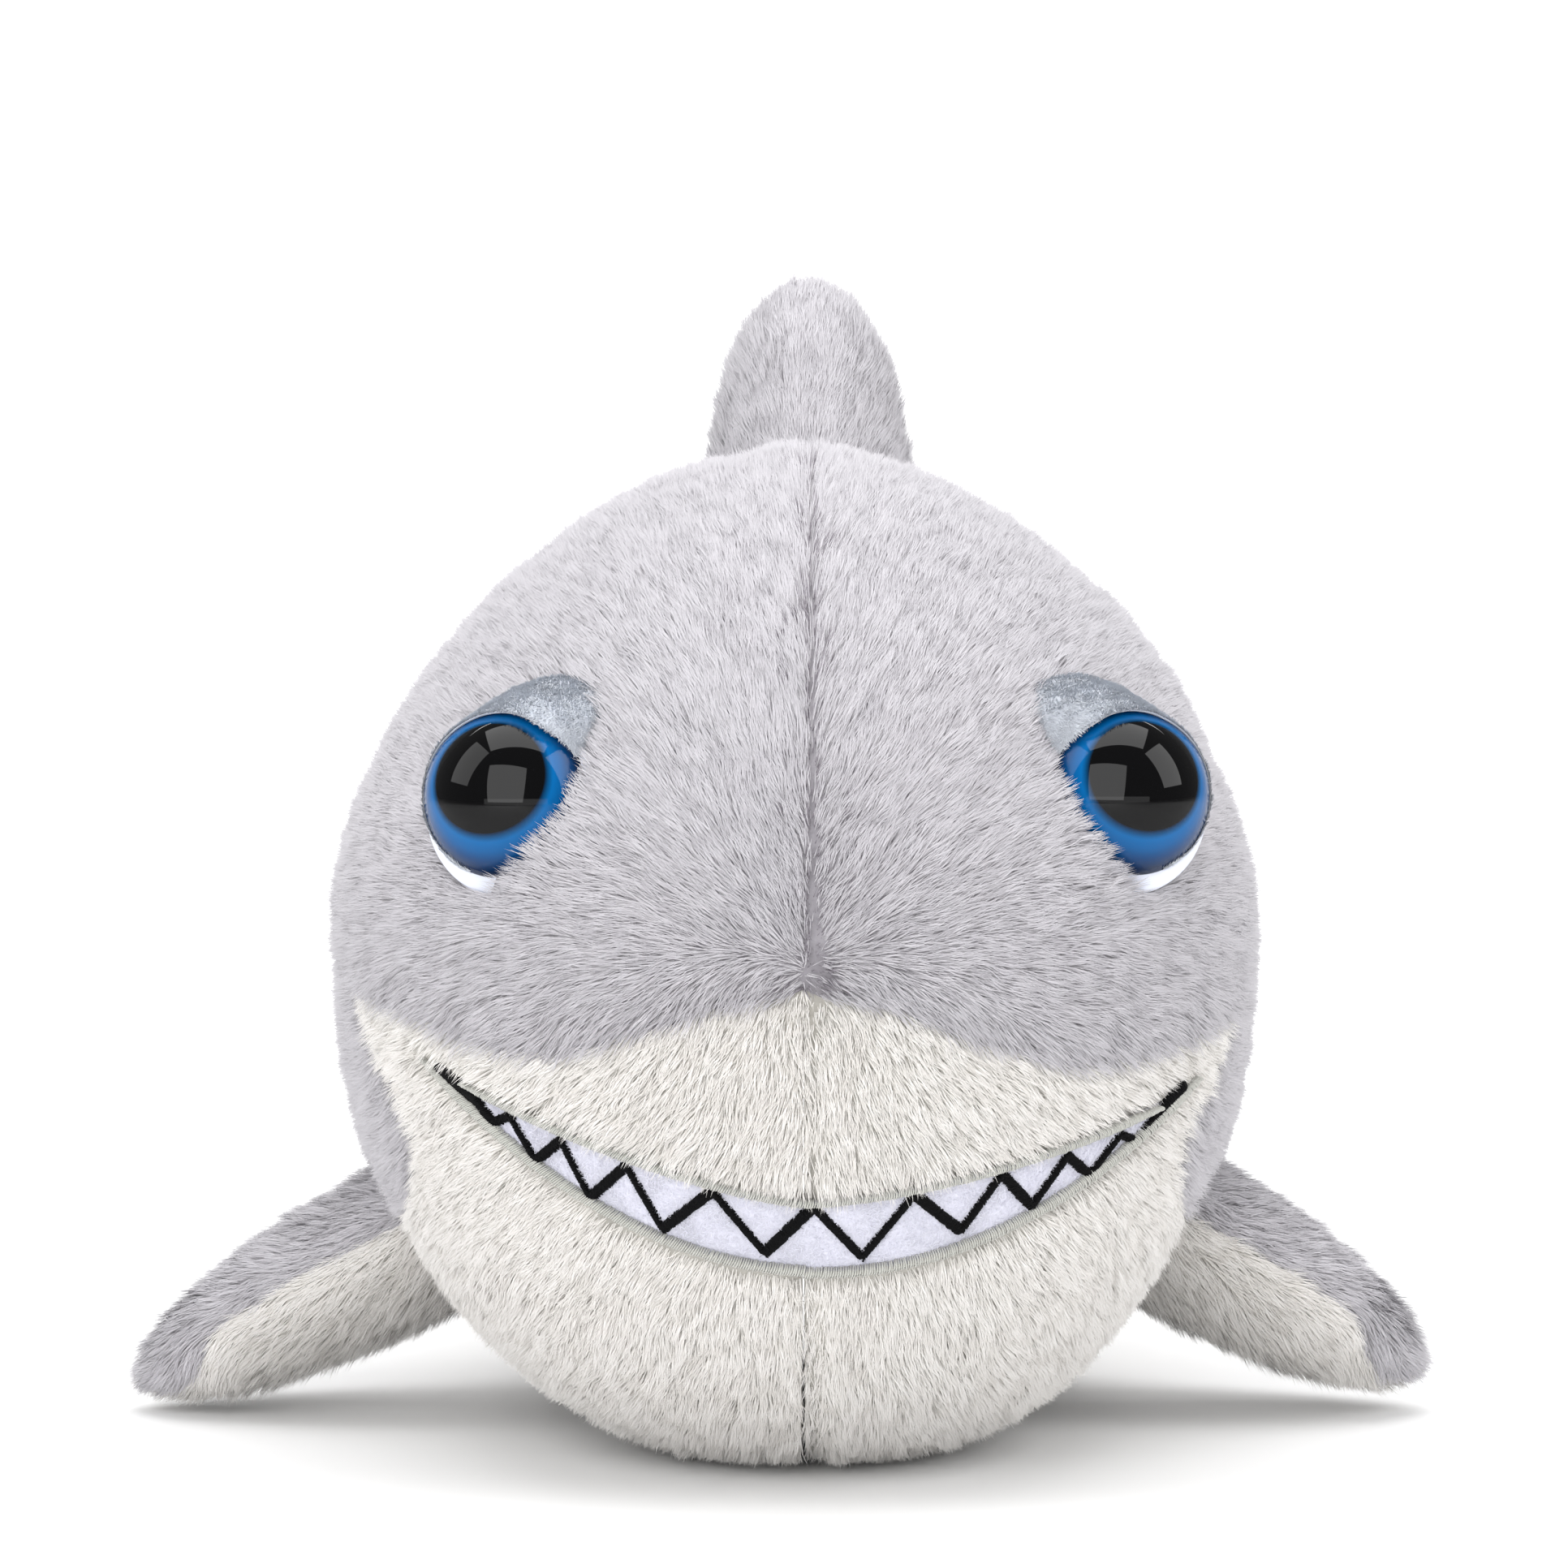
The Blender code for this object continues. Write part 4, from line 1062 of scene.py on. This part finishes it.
def make_felt(rng):
    """The band of felt between the jaws, with a short fuzz."""
    columns = np.linspace(-MOUTH_HALF - 0.0005, MOUTH_HALF - 0.0020, 160)
    low, high = mouth_line(columns, MOUTH_BOTTOM), mouth_line(columns, MOUTH_TOP)
    high = np.maximum(high, low + 0.0004)
    share = np.linspace(0, 1, 15)
    z = low[:, None] * (1 - share) + high[:, None] * share
    x = np.repeat(columns[:, None], 15, axis=1)
    wave = 0.00012 * noise(np.stack([x, 0 * x, z], -1), 0.004, 3)
    outer, normal = face_point(x, z, -0.0011 + wave)
    inner, _ = face_point(x, z, np.full_like(x, -0.0023))
    felt = shell("mouth_felt_sheet", outer, inner, felt_skin)
    dress([felt])
    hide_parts("mouth_felt")
    sown = Field(outer, normal).sow(7.0e6, rng)
    turn = rng.uniform(-math.pi, math.pi, len(sown["point"]))
    loose = np.stack([np.cos(turn), 0 * turn, np.sin(turn)], -1)
    fuzz = strands(
        "mouth_felt_fuzz", sown["point"], sown["normal"], loose, np.full(len(turn), 0.0011),
        (math.radians(50), math.radians(78)), 0.00012, FELT_PILE, rng, tuft=0.0, floor=False,
    )
    dress(fuzz)


def make_zigzag(rng):
    """The teeth: strokes of heavy thread, each a core wound with finer thread, and loose lint."""
    pile = Pile()
    corners = np.array(ZIGZAG) * MM
    for k, (a, b) in enumerate(zip(corners[:-1], corners[1:])):
        along = (b - a) / np.linalg.norm(b - a)
        reach = STROKES[k] * MM / 2 * 0.45
        steps = max(8, int(np.linalg.norm(b - a) / 0.00035))
        t = np.linspace(0, 1, steps)[:, None]
        line = (a - along * reach) * (1 - t) + (b + along * reach) * t
        rough = noise(np.stack([line[:, 0], 0 * line[:, 0], line[:, 1]], -1), 0.0007, 31 + k)
        radius = STROKES[k] * MM / 2 * (1 + 0.14 * rough)
        end = smooth(np.minimum(t[:, 0], 1 - t[:, 0]), -0.02, 0.05)
        path, up = face_point(line[:, 0], line[:, 1], np.full(steps, -0.00075))
        pile.add(*tube(path, radius * end, sides=10, flat=0.55, up=up))
        across = np.array([-along[1], along[0]])
        for j in range(int(np.linalg.norm(b - a) / ZIGZAG_STEP)):
            share = (j + 0.5) * ZIGZAG_STEP / np.linalg.norm(b - a)
            at = a * (1 - share) + b * share
            half = STROKES[k] * MM / 2 * rng.uniform(0.85, 1.12)
            slant = along * rng.normal(0.0, 0.00016) + along * 0.0003
            q = np.linspace(-1, 1, 5)[:, None]
            thread = at + across * half * q + slant * q
            path, up = face_point(thread[:, 0], thread[:, 1], -0.0011 + 0.00095 * (1 - q[:, 0] ** 4))
            pile.add(*tube(path, ZIGZAG_THREAD, sides=5, up=up))
    zigzag = pile.object("teeth_zigzag_thread", black_thread)
    dress([zigzag])
    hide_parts("teeth_zigzag_stitching")
    loose = Pile()
    for k, (a, b) in enumerate(zip(corners[:-1], corners[1:])):
        n = int(np.linalg.norm(b - a) / 0.0006)
        for j in range(n):
            at = a + (b - a) * rng.uniform(0, 1)
            turn = rng.uniform(0, 2 * math.pi)
            reach = np.array([math.cos(turn), math.sin(turn)]) * (STROKES[k] * MM / 2 + rng.uniform(0.0, 0.0005))
            q = np.linspace(0, 1, 3)[:, None]
            hair = at + reach * q
            path, up = face_point(hair[:, 0], hair[:, 1], -0.0004 + 0.0003 * q[:, 0])
            loose.add(*tube(path, LINT_THREAD, sides=3, up=up))
    dress([loose.object("teeth_thread_lint", black_thread)])


def make_satin(rng):
    """Satin stitch along both edges of the felt."""
    for name, reach_left, reach_right, edge, width, node in (
        ("mouth_satin_lower", -0.0685, 0.0715, MOUTH_BOTTOM, 0.0019, "mouth_border_stitch_lower"),
        ("mouth_satin_upper", -0.0610, 0.0640, MOUTH_TOP, 0.0016, "mouth_border_stitch_upper"),
    ):
        fine = np.linspace(reach_left, reach_right, 1200)
        line, _ = face_point(fine, mouth_line(fine, edge), np.zeros_like(fine))
        length = np.concatenate([[0], np.cumsum(np.linalg.norm(np.diff(line, axis=0), axis=1))])
        count = int(length[-1] / SATIN_STEP)
        at = np.interp((np.arange(count) + 0.5) / count * length[-1], length, fine)
        slope = np.gradient(mouth_line(fine, edge), fine)
        pile = Pile()
        for place in at:
            tilt = math.atan(float(np.interp(place, fine, slope)))
            fade = min(1.0, (place - reach_left) / 0.006, (reach_right - place) / 0.006)
            half = width / 2 * (0.35 + 0.65 * max(fade, 0.0)) * rng.uniform(0.93, 1.07)
            turn = tilt + math.pi / 2 - SATIN_SLANT + rng.normal(0, 0.05)
            step = 0.0003 if (place < 0 and "lower" in name) else 0.0
            q = np.linspace(-1, 1, 6)
            px = place + math.cos(turn) * half * q
            pz = mouth_line(np.array(place), edge) + step + math.sin(turn) * half * q
            lift = -0.0009 + rng.normal(0.0, 0.00007) + 0.0013 * (1 - np.abs(q) ** 3)
            path, up = face_point(px, pz, lift)
            pile.add(*tube(path, SATIN_THREAD * rng.uniform(0.8, 1.2), sides=6, up=up))
        satin = pile.object(name, pale_thread)
        dress([satin])
        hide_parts(node)


# ---------------------------------------------------------------- eyes


def turned(name, profile, centre, look, out, up, segments, material, closed=False, radial_uv=None):
    """A profile of (radius, height) turned about an axis. radial_uv is the radius at which u is one."""
    profile = np.array(profile)
    turn = np.arange(segments) / segments * 2 * math.pi
    spoke = out[None] * np.cos(turn)[:, None] + up[None] * np.sin(turn)[:, None]
    rings = centre + look * profile[:, 1][:, None, None] + spoke[None] * profile[:, 0][:, None, None]
    faces = grid_faces(len(profile), segments, wrap=True)
    if closed:
        last = (len(profile) - 1) * segments
        for k in range(segments):
            after = (k + 1) % segments
            faces.append((last + k, last + after, after, k))
    made = mesh_object(name, rings.reshape(-1, 3), faces, material)
    if radial_uv:
        layer = made.data.uv_layers.new(name="UVMap")
        loops = np.empty(len(made.data.loops), np.int32)
        made.data.loops.foreach_get("vertex_index", loops)
        # Radius from a centre that lies off the axis, and reaches one at the rim all the same
        flat_x = profile[:, 0][:, None] * np.cos(turn)[None] / radial_uv
        flat_y = profile[:, 0][:, None] * np.sin(turn)[None] / radial_uv
        radius = np.hypot(flat_x, flat_y)
        fade = 1 - np.clip(radius, 0, 1) ** 2
        off_x, off_y = (shift / radial_uv * fade * 2 for shift in PUPIL_SHIFT)
        share = np.hypot(flat_x - off_x, flat_y - off_y)
        share = share.reshape(-1)[loops]
        angle = np.tile(turn / (2 * math.pi), len(profile))[loops]
        layer.data.foreach_set("uv", np.stack([share, angle], -1).astype(np.float32).reshape(-1))
    return made


def make_eye(side, word, rng):
    """The glossy ball, the white disc behind it and the lid over it."""
    surface, look, up, out = eye_frame(side)
    centre = surface + look * (EYE_LIFT + 0.0017)
    curve = (EYE_RADIUS**2 + EYE_HEIGHT**2) / (2 * EYE_HEIGHT)
    top = math.asin(EYE_RADIUS / curve)
    profile = [(1e-5, EYE_HEIGHT)]
    for k in range(1, 49):
        angle = k / 48 * top
        profile.append((curve * math.sin(angle), EYE_HEIGHT - curve * (1 - math.cos(angle))))
    profile += [(EYE_RADIUS * 1.003, -0.0003), (EYE_RADIUS * 0.985, -0.0009)]
    profile += [(0.0030, -0.0010), (0.0029, -0.0150)]
    ball = turned("eye_ball_" + word, profile, centre, look, out, up, 96, eye_gloss, radial_uv=EYE_RADIUS)
    dress([ball])
    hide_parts("eye_dome_" + word)

    ring = [
        (0.0034, 0.0), (DISC_RADIUS - 0.0008, 0.0), (DISC_RADIUS, 0.0005), (DISC_RADIUS, 0.0010),
        (DISC_RADIUS - 0.0006, 0.0015), (0.0152, 0.0016), (0.0034, 0.0013),
    ]
    disc_at = surface + look * EYE_LIFT + out * DISC_SHIFT[0] + up * DISC_SHIFT[1]
    disc = turned("eye_backing_disc_" + word, ring, disc_at, look, out, up, 96, disc_white, closed=True)
    dress([disc])
    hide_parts("eye_white_disc_" + word)
    make_lid(side, word, centre, curve, rng)


def make_lid(side, word, centre, curve, rng):
    """A padded crescent over the top of the ball, widest at its inner end."""
    _, look, up, out = eye_frame(side)
    turns = np.radians(np.linspace(*LID_TURNS, 110))
    wide = lid_width(np.degrees(turns)) + 0.0002
    share = (turns - turns[0]) / (turns[-1] - turns[0])
    over = 0.0003 + 0.0013 * smooth(share, 0.35, 0.60) * smooth(share, 1.0, 0.85)
    rows = 18
    grid = np.zeros((len(turns), rows, 3))
    q = np.linspace(0, 1, rows)[:, None]
    for i, turn in enumerate(turns):
        spoke = out * math.cos(turn) + up * math.sin(turn)
        inner_r = EYE_RADIUS - over[i]
        on_ball = EYE_HEIGHT - curve + math.sqrt(curve**2 - inner_r**2)
        start = centre + spoke * inner_r + look * (on_ball - 0.0002 + 0.0006 * smooth(share[i], 0.35, 0.6))
        end = centre + spoke * (EYE_RADIUS + wide[i])
        # The outer edge drops straight back until it meets the face
        drops = end - look * np.linspace(0.0, LID_REACH, 41)[:, None]
        within = np.append(drops[:, 1] >= surface_y(drops[:, 0], drops[:, 2]), True)
        end = drops[min(int(np.argmax(within)), 40)] - look * 0.0004
        rise = 0.0002 + 0.30 * wide[i]
        grid[i] = start * (1 - q) + end * q + look * rise * np.sin(np.pi * np.clip(q * 0.8 + 0.2, 0, 1)) ** 0.7
    under = grid - look * LID_THICKNESS
    normal = grid_normals(grid)
    outward = look * 0.8 + unit(grid - centre) * 0.6
    normal = normal * np.sign(np.sum(normal * outward, axis=-1, keepdims=True))
    lid = shell("eyelid_pad_" + word, grid, under, lid_skin)
    dress([lid])
    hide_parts("eyelid_" + word)
    away = -unit(np.gradient(grid, axis=1)) + 0.5 * unit(np.gradient(grid, axis=0))
    normal = unit(normal + 0.8 * look + 0.4 * up)
    # The nap, and dark fuzz along the lid's edge against the ball: on the outer side the lid's dark cut edge,
    # and along the top a painted shadow where the lid overhangs the ball
    side_end = int(np.searchsorted(turns, math.radians(48)))
    top_edge, side_edge = (slice(side_end - 1, None), slice(0, 2)), (slice(0, side_end), slice(0, rows))
    nap_look = (0.0013, 22, 60, 0.00012, LID_PILE, 0.15, 2.5e6)
    rim_and_shadow_look = (0.0009, 35, 80, 0.00011, RIM_AND_SHADOW_PILE, 0.1, 4e6)
    for label, band, (length, first, last, width, materials, tuft, quick_density) in (
        ("nap", (slice(None), slice(None)), nap_look),
        ("rim_top_shadow", top_edge, rim_and_shadow_look),
        ("rim_side", side_edge, rim_and_shadow_look),
    ):
        s = Field(grid[band], normal[band], comb=away[band]).sow(1.6e7, rng)
        lengths, lean = np.full(len(s["point"]), length), (math.radians(first), math.radians(last))
        fuzz = strands(
            f"eyelid_{label}_{word}", s["point"], s["normal"], s["comb"], lengths, lean, width, materials, rng,
            tuft=tuft, floor=False,
        )
        dress(fuzz)


# ---------------------------------------------------------------- fins and tail


def fin_grid(root, span, chord, size, tip, start_round, sweep, turns, rows, skirt, sag=0.0):
    """Rows from a skirt inside the body to the tip, columns round the section."""
    length, half_chord, half_thick = size
    turns = np.atleast_2d(turns)
    share = np.sin(np.linspace(0.0, 1.0, rows) * math.pi / 2)[:, None]
    along = np.clip((share - start_round) / (1 - start_round), 0.0, 1.0)
    rounding = np.sqrt(np.maximum(1 - along * along, 0.0))
    c = half_chord * (1 + (tip[0] - 1) * share) * rounding * np.cos(turns) + sweep * share
    w = half_thick * (1 + (tip[1] - 1) * share) * rounding * np.sin(turns)
    low = -skirt - sag * np.cos(turns) ** 2
    s = low + (length - low) * share
    return root + s[..., None] * span + c[..., None] * chord + w[..., None] * np.cross(span, chord)


def cover(name, grid_of, parts, body, blend, comb_axis, stuffing, rng, density=1.0, length=1.0):
    """Skins and pile of a fin or the tail.

    grid_of gives its surface for turns and a number of rows. parts are (word, first turn,
    last turn, colour, CAD node). When blend is given, the pieces are left unattached with their transform
    applied; the points in it are not used.
    """
    ring, length_rows, fine_rows = 24, 22, 70
    base = grid_of(np.arange(ring) / ring * 2 * math.pi, length_rows)
    inner_rows = slice(1, -1)
    held = np.zeros(base.shape[:2])
    held[:10] = np.minimum(np.linspace(1.6, 0.1, 10), 1.0)[:, None]
    held[:, (0, ring // 2)] = 1.0
    held[-3:] = np.linspace(0.4, 1.0, 3)[:, None]
    move = np.zeros(base.shape[:2])
    move[inner_rows] = stuff(name, base[inner_rows], held[inner_rows], FIN_PRESSURE)
    for word, first, last, colour, node in parts:
        across = np.linspace(0, 1, 60)
        turns = first * (1 - across) + last * across
        point = grid_of(turns, fine_rows)
        normal = grid_normals(point)
        centre_line = grid_of(np.linspace(0, 2 * math.pi, 25)[:-1], fine_rows).mean(axis=1)
        sign = np.sign(np.sum(normal * (point - centre_line[:, None]), axis=-1))
        normal = normal * np.where(np.mean(sign) < 0, -1, 1)
        normal[-1] = normal[-2].mean(axis=0)
        row = np.linspace(0, length_rows - 1, fine_rows)[:, None] + 0 * turns
        column = np.broadcast_to(turns, row.shape) / (2 * math.pi) * ring
        point = point + normal * look_up(move, row, column)[..., None]
        width = np.linalg.norm(np.diff(point, axis=1), axis=-1).sum(axis=1)[:, None]
        to_edge = np.minimum(across, 1 - across)[None] * width
        dip = 0.0008 * np.exp(-((to_edge / 0.0020) ** 2))
        skin = point - normal * (FIN_SKIN_DEPTH + dip)[..., None]
        inner = point - normal * (FIN_SKIN_DEPTH + dip + SKIN_THICKNESS)[..., None]
        comb = unit(np.gradient(point, axis=0))
        comb[-1] = comb[-2]
        if comb_axis is not None:
            comb = unit(comb * 0.6 + np.asarray(comb_axis, float))
        s = Field(point, normal, skin=skin, comb=comb).sow(DENSITY * density, rng)
        pile, backing = (GREY_PILE, grey_skin) if colour == "grey" else (CREAM_PILE, cream_skin)
        lengths = np.full(len(s["skin"]), STRAND_LENGTH * length)
        thin = STRAND_WIDTH / math.sqrt(density)
        roots = s["skin"], s["normal"], s["comb"]
        furs = strands(f"{name}_pile_{word}", *roots, lengths, LEAN, thin, pile, rng)
        pad = shell(f"{name}_skin_{word}", skin, inner, backing)
        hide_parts(node)
        if stuffing:
            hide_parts(stuffing)
            stuffing = None
        for made in (*furs, pad):
            if blend:
                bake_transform(made)
            else:
                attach(made, body)


def make_dorsal(rng):
    z = float(top_of(np.array(DORSAL_Y)))
    chord = np.array([0.0, math.cos(DORSAL_SLOPE), math.sin(DORSAL_SLOPE)])
    span = np.array([0.0, -math.sin(DORSAL_SLOPE), math.cos(DORSAL_SLOPE)])
    root = np.array([0.0010, DORSAL_Y, z + DORSAL_CLEARANCE])

    def grid_of(turns, rows):
        return fin_grid(root, span, chord, DORSAL_SIZE, (0.55, 0.62), 0.50, 0.008, turns, rows, 0.010, 0.006)

    words = ("left", "right") if np.cross(span, chord)[0] < 0 else ("right", "left")
    cuts = (0.0, math.pi, 2 * math.pi)
    parts = [(word, *cuts[k : k + 2], "grey", "dorsal_fin_panel_" + word) for k, word in enumerate(words)]
    blend = (tuple(root - span * 0.008), tuple(root + span * 0.010))
    cover("dorsal", grid_of, parts, "dorsal_fin", blend, None, "dorsal_fin_stuffing", rng)


def make_side_fin(side, word, rng):
    x, y, z = FIN_ROOT
    root = np.array([side * x, y, z])
    droop = FIN_DROOP + (FIN_EXTRA_DROOP if side > 0 else 0.0)
    span = np.array([side * math.cos(droop), 0.0, -math.sin(droop)])
    length, half_chord, half_thick = FIN_SIZE
    size = (length - (FIN_SHORTER if side > 0 else 0.0), half_chord, half_thick)
    turn = Matrix.Rotation(-side * FIN_ATTACK, 3, Vector(span))
    chord = np.array(turn @ Vector((0.0, 1.0, 0.0)))

    def grid_of(turns, rows):
        return fin_grid(root, span, chord, size, (0.70, 0.80), 0.35, 0.004, turns, rows, 0.012)

    # The seam follows the leading edge, then crosses the underside at the tip
    share = np.sin(np.linspace(0.0, 1.0, 70) * math.pi / 2)[:, None]
    wrap = TIP_WRAP * smooth(share, 0.70, 0.97)
    none = np.zeros_like(wrap)
    top, under = (none, none + math.pi + wrap), (none + math.pi + wrap, none + 2 * math.pi)
    if np.cross(span, chord)[2] < 0:
        top, under = (none + math.pi - wrap, none + 2 * math.pi), (none, none + math.pi - wrap)
    parts = (
        ("top_" + word, *top, "grey", "pectoral_top_panel_" + word),
        ("under_" + word, *under, "cream", "pectoral_under_panel_" + word),
    )
    blend = (tuple(root - span * 0.006), tuple(root + span * 0.014))
    cover("side_fin", grid_of, parts, "pectoral_fin_" + word, blend, None, "pectoral_stuffing_" + word, rng)


def make_tail(rng):
    def stem(turns, rows):
        share = np.linspace(-0.25, 1.0, rows)[:, None]
        over = 0.0012 * smooth(share, 0.30, 0.05)
        narrowing = np.maximum(share, 0.0)
        wide = TAIL_HALF_WIDTH[0] + (TAIL_HALF_WIDTH[1] - TAIL_HALF_WIDTH[0]) * narrowing + over
        tall = TAIL_HALF_HEIGHT[0] + (TAIL_HALF_HEIGHT[1] - TAIL_HALF_HEIGHT[0]) * narrowing + over
        middle = TAIL_MIDDLE_Z[0] + (TAIL_MIDDLE_Z[1] - TAIL_MIDDLE_Z[0]) * share
        x = wide * np.sin(turns)[None]
        z = middle + tall * np.cos(turns)[None]
        yy = BODY_END_Y + (TAIL_END_Y + 0.006 - BODY_END_Y) * share
        return np.stack([x, yy + 0 * x, z + 0 * x], axis=-1)

    parts = (
        ("left", -TAIL_SEAM, 0.0, "grey", "tail_panel_left"),
        ("right", 0.0, TAIL_SEAM, "grey", "tail_panel_right"),
        ("under", TAIL_SEAM, 2 * math.pi - TAIL_SEAM, "cream", "tail_under_panel"),
    )
    blend = ((0.0, BODY_END_Y - 0.010, 0.095), (0.0, BODY_END_Y + 0.022, 0.095))
    cover("tail", stem, parts, "tail", blend, None, "tail_stuffing", rng, 0.5)

    def caudal(turns, rows):
        reach = np.sin(np.linspace(-1.0, 1.0, rows) * math.pi / 2)[:, None]
        middle = (CAUDAL_LOW_Z + CAUDAL_HIGH_Z) / 2
        half = (CAUDAL_HIGH_Z - CAUDAL_LOW_Z) / 2
        rounding = np.sqrt(np.maximum(1 - reach**4, 0.0))
        chord = CAUDAL_CHORD / 2 * rounding * (1 - 0.15 * reach**2)
        thick = CAUDAL_HALF_THICKNESS * rounding
        centre = CAUDAL_FRONT_Y + CAUDAL_CHORD / 2 + CAUDAL_SWEEP * np.abs(reach) ** 1.6
        yy = centre + chord * np.cos(turns)[None]
        x = thick * np.sin(turns)[None]
        return np.stack([x, yy, middle + half * reach + 0 * x], axis=-1)

    parts = (
        ("right", 0.0, math.pi, "grey", "caudal_fin_panel_right"),
        ("left", math.pi, 2 * math.pi, "grey", "caudal_fin_panel_left"),
    )
    cover("caudal", caudal, parts, "tail", None, (0.0, 1.0, 0.0), "caudal_fin_stuffing", rng, 0.5, 0.85)


# ---------------------------------------------------------------- studio


def area_light(name, place, target, size, power):
    lamp = bpy.data.lights.new(name, "AREA")
    lamp.shape = "RECTANGLE"
    lamp.size, lamp.size_y = size
    lamp.energy = power
    made = link(name, lamp)
    made.location = place
    made.rotation_euler = (Vector(target) - Vector(place)).to_track_quat("-Z", "Y").to_euler()


def make_studio():
    scene = bpy.context.scene
    world = bpy.data.worlds.new("studio")
    world.use_nodes = True
    set_inputs(world.node_tree.nodes["Background"], {"Color": (1, 1, 1, 1), "Strength": WORLD_STRENGTH})
    scene.world = world
    scene.view_settings.view_transform = "Standard"
    floor_paint, tree, shader = principled("pale_floor", (0.90, 0.90, 0.90), 0.7, Specular_IOR_Level=0.1)
    grain = add_node(tree, "TexNoise", Scale=3.0)
    add_wear(tree, shader, grain.outputs["Fac"], 0.65, 0.8)
    curve = [
        (1.2 + COVE_RADIUS * math.sin(a), COVE_RADIUS - COVE_RADIUS * math.cos(a))
        for a in np.linspace(0, math.pi / 2, 14)
    ]
    profile = [(-4.0, 0.0), *curve, (2.8, 4.0)]
    points = [(x, y, z - FLOOR_DROP) for y, z in profile for x in (-5.0, 5.0)]
    floor = mesh_object("studio_floor", points, grid_faces(len(profile), 2), floor_paint)

    for light in LIGHTS:
        area_light(*light)

    data = bpy.data.cameras.new("camera")
    data.lens = LENS
    data.sensor_width = 36.0
    camera = link("camera", data)
    toward = Vector((0, -math.cos(CAMERA_RISE), math.sin(CAMERA_RISE)))
    camera.location = CAMERA_TARGET + toward * CAMERA_DISTANCE
    pitch = math.pi / 2 - CAMERA_RISE + CAMERA_UP
    camera.rotation_euler = (pitch, 0.0, CAMERA_LEFT)
    scene.camera = camera


rng = np.random.default_rng(7)
for side, word in ((-1, "left"), (1, "right")):
    body_side(side, word, rng)
    make_eye(side, word, rng)
    make_side_fin(side, word, rng)
make_felt(rng)
make_zigzag(rng)
make_satin(rng)
make_dorsal(rng)
make_tail(rng)
for word in ("left", "right"):
    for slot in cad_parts["eye_lock_washer_" + word].material_slots:
        slot.link = "OBJECT"
        slot.material = washer_plastic
make_studio()
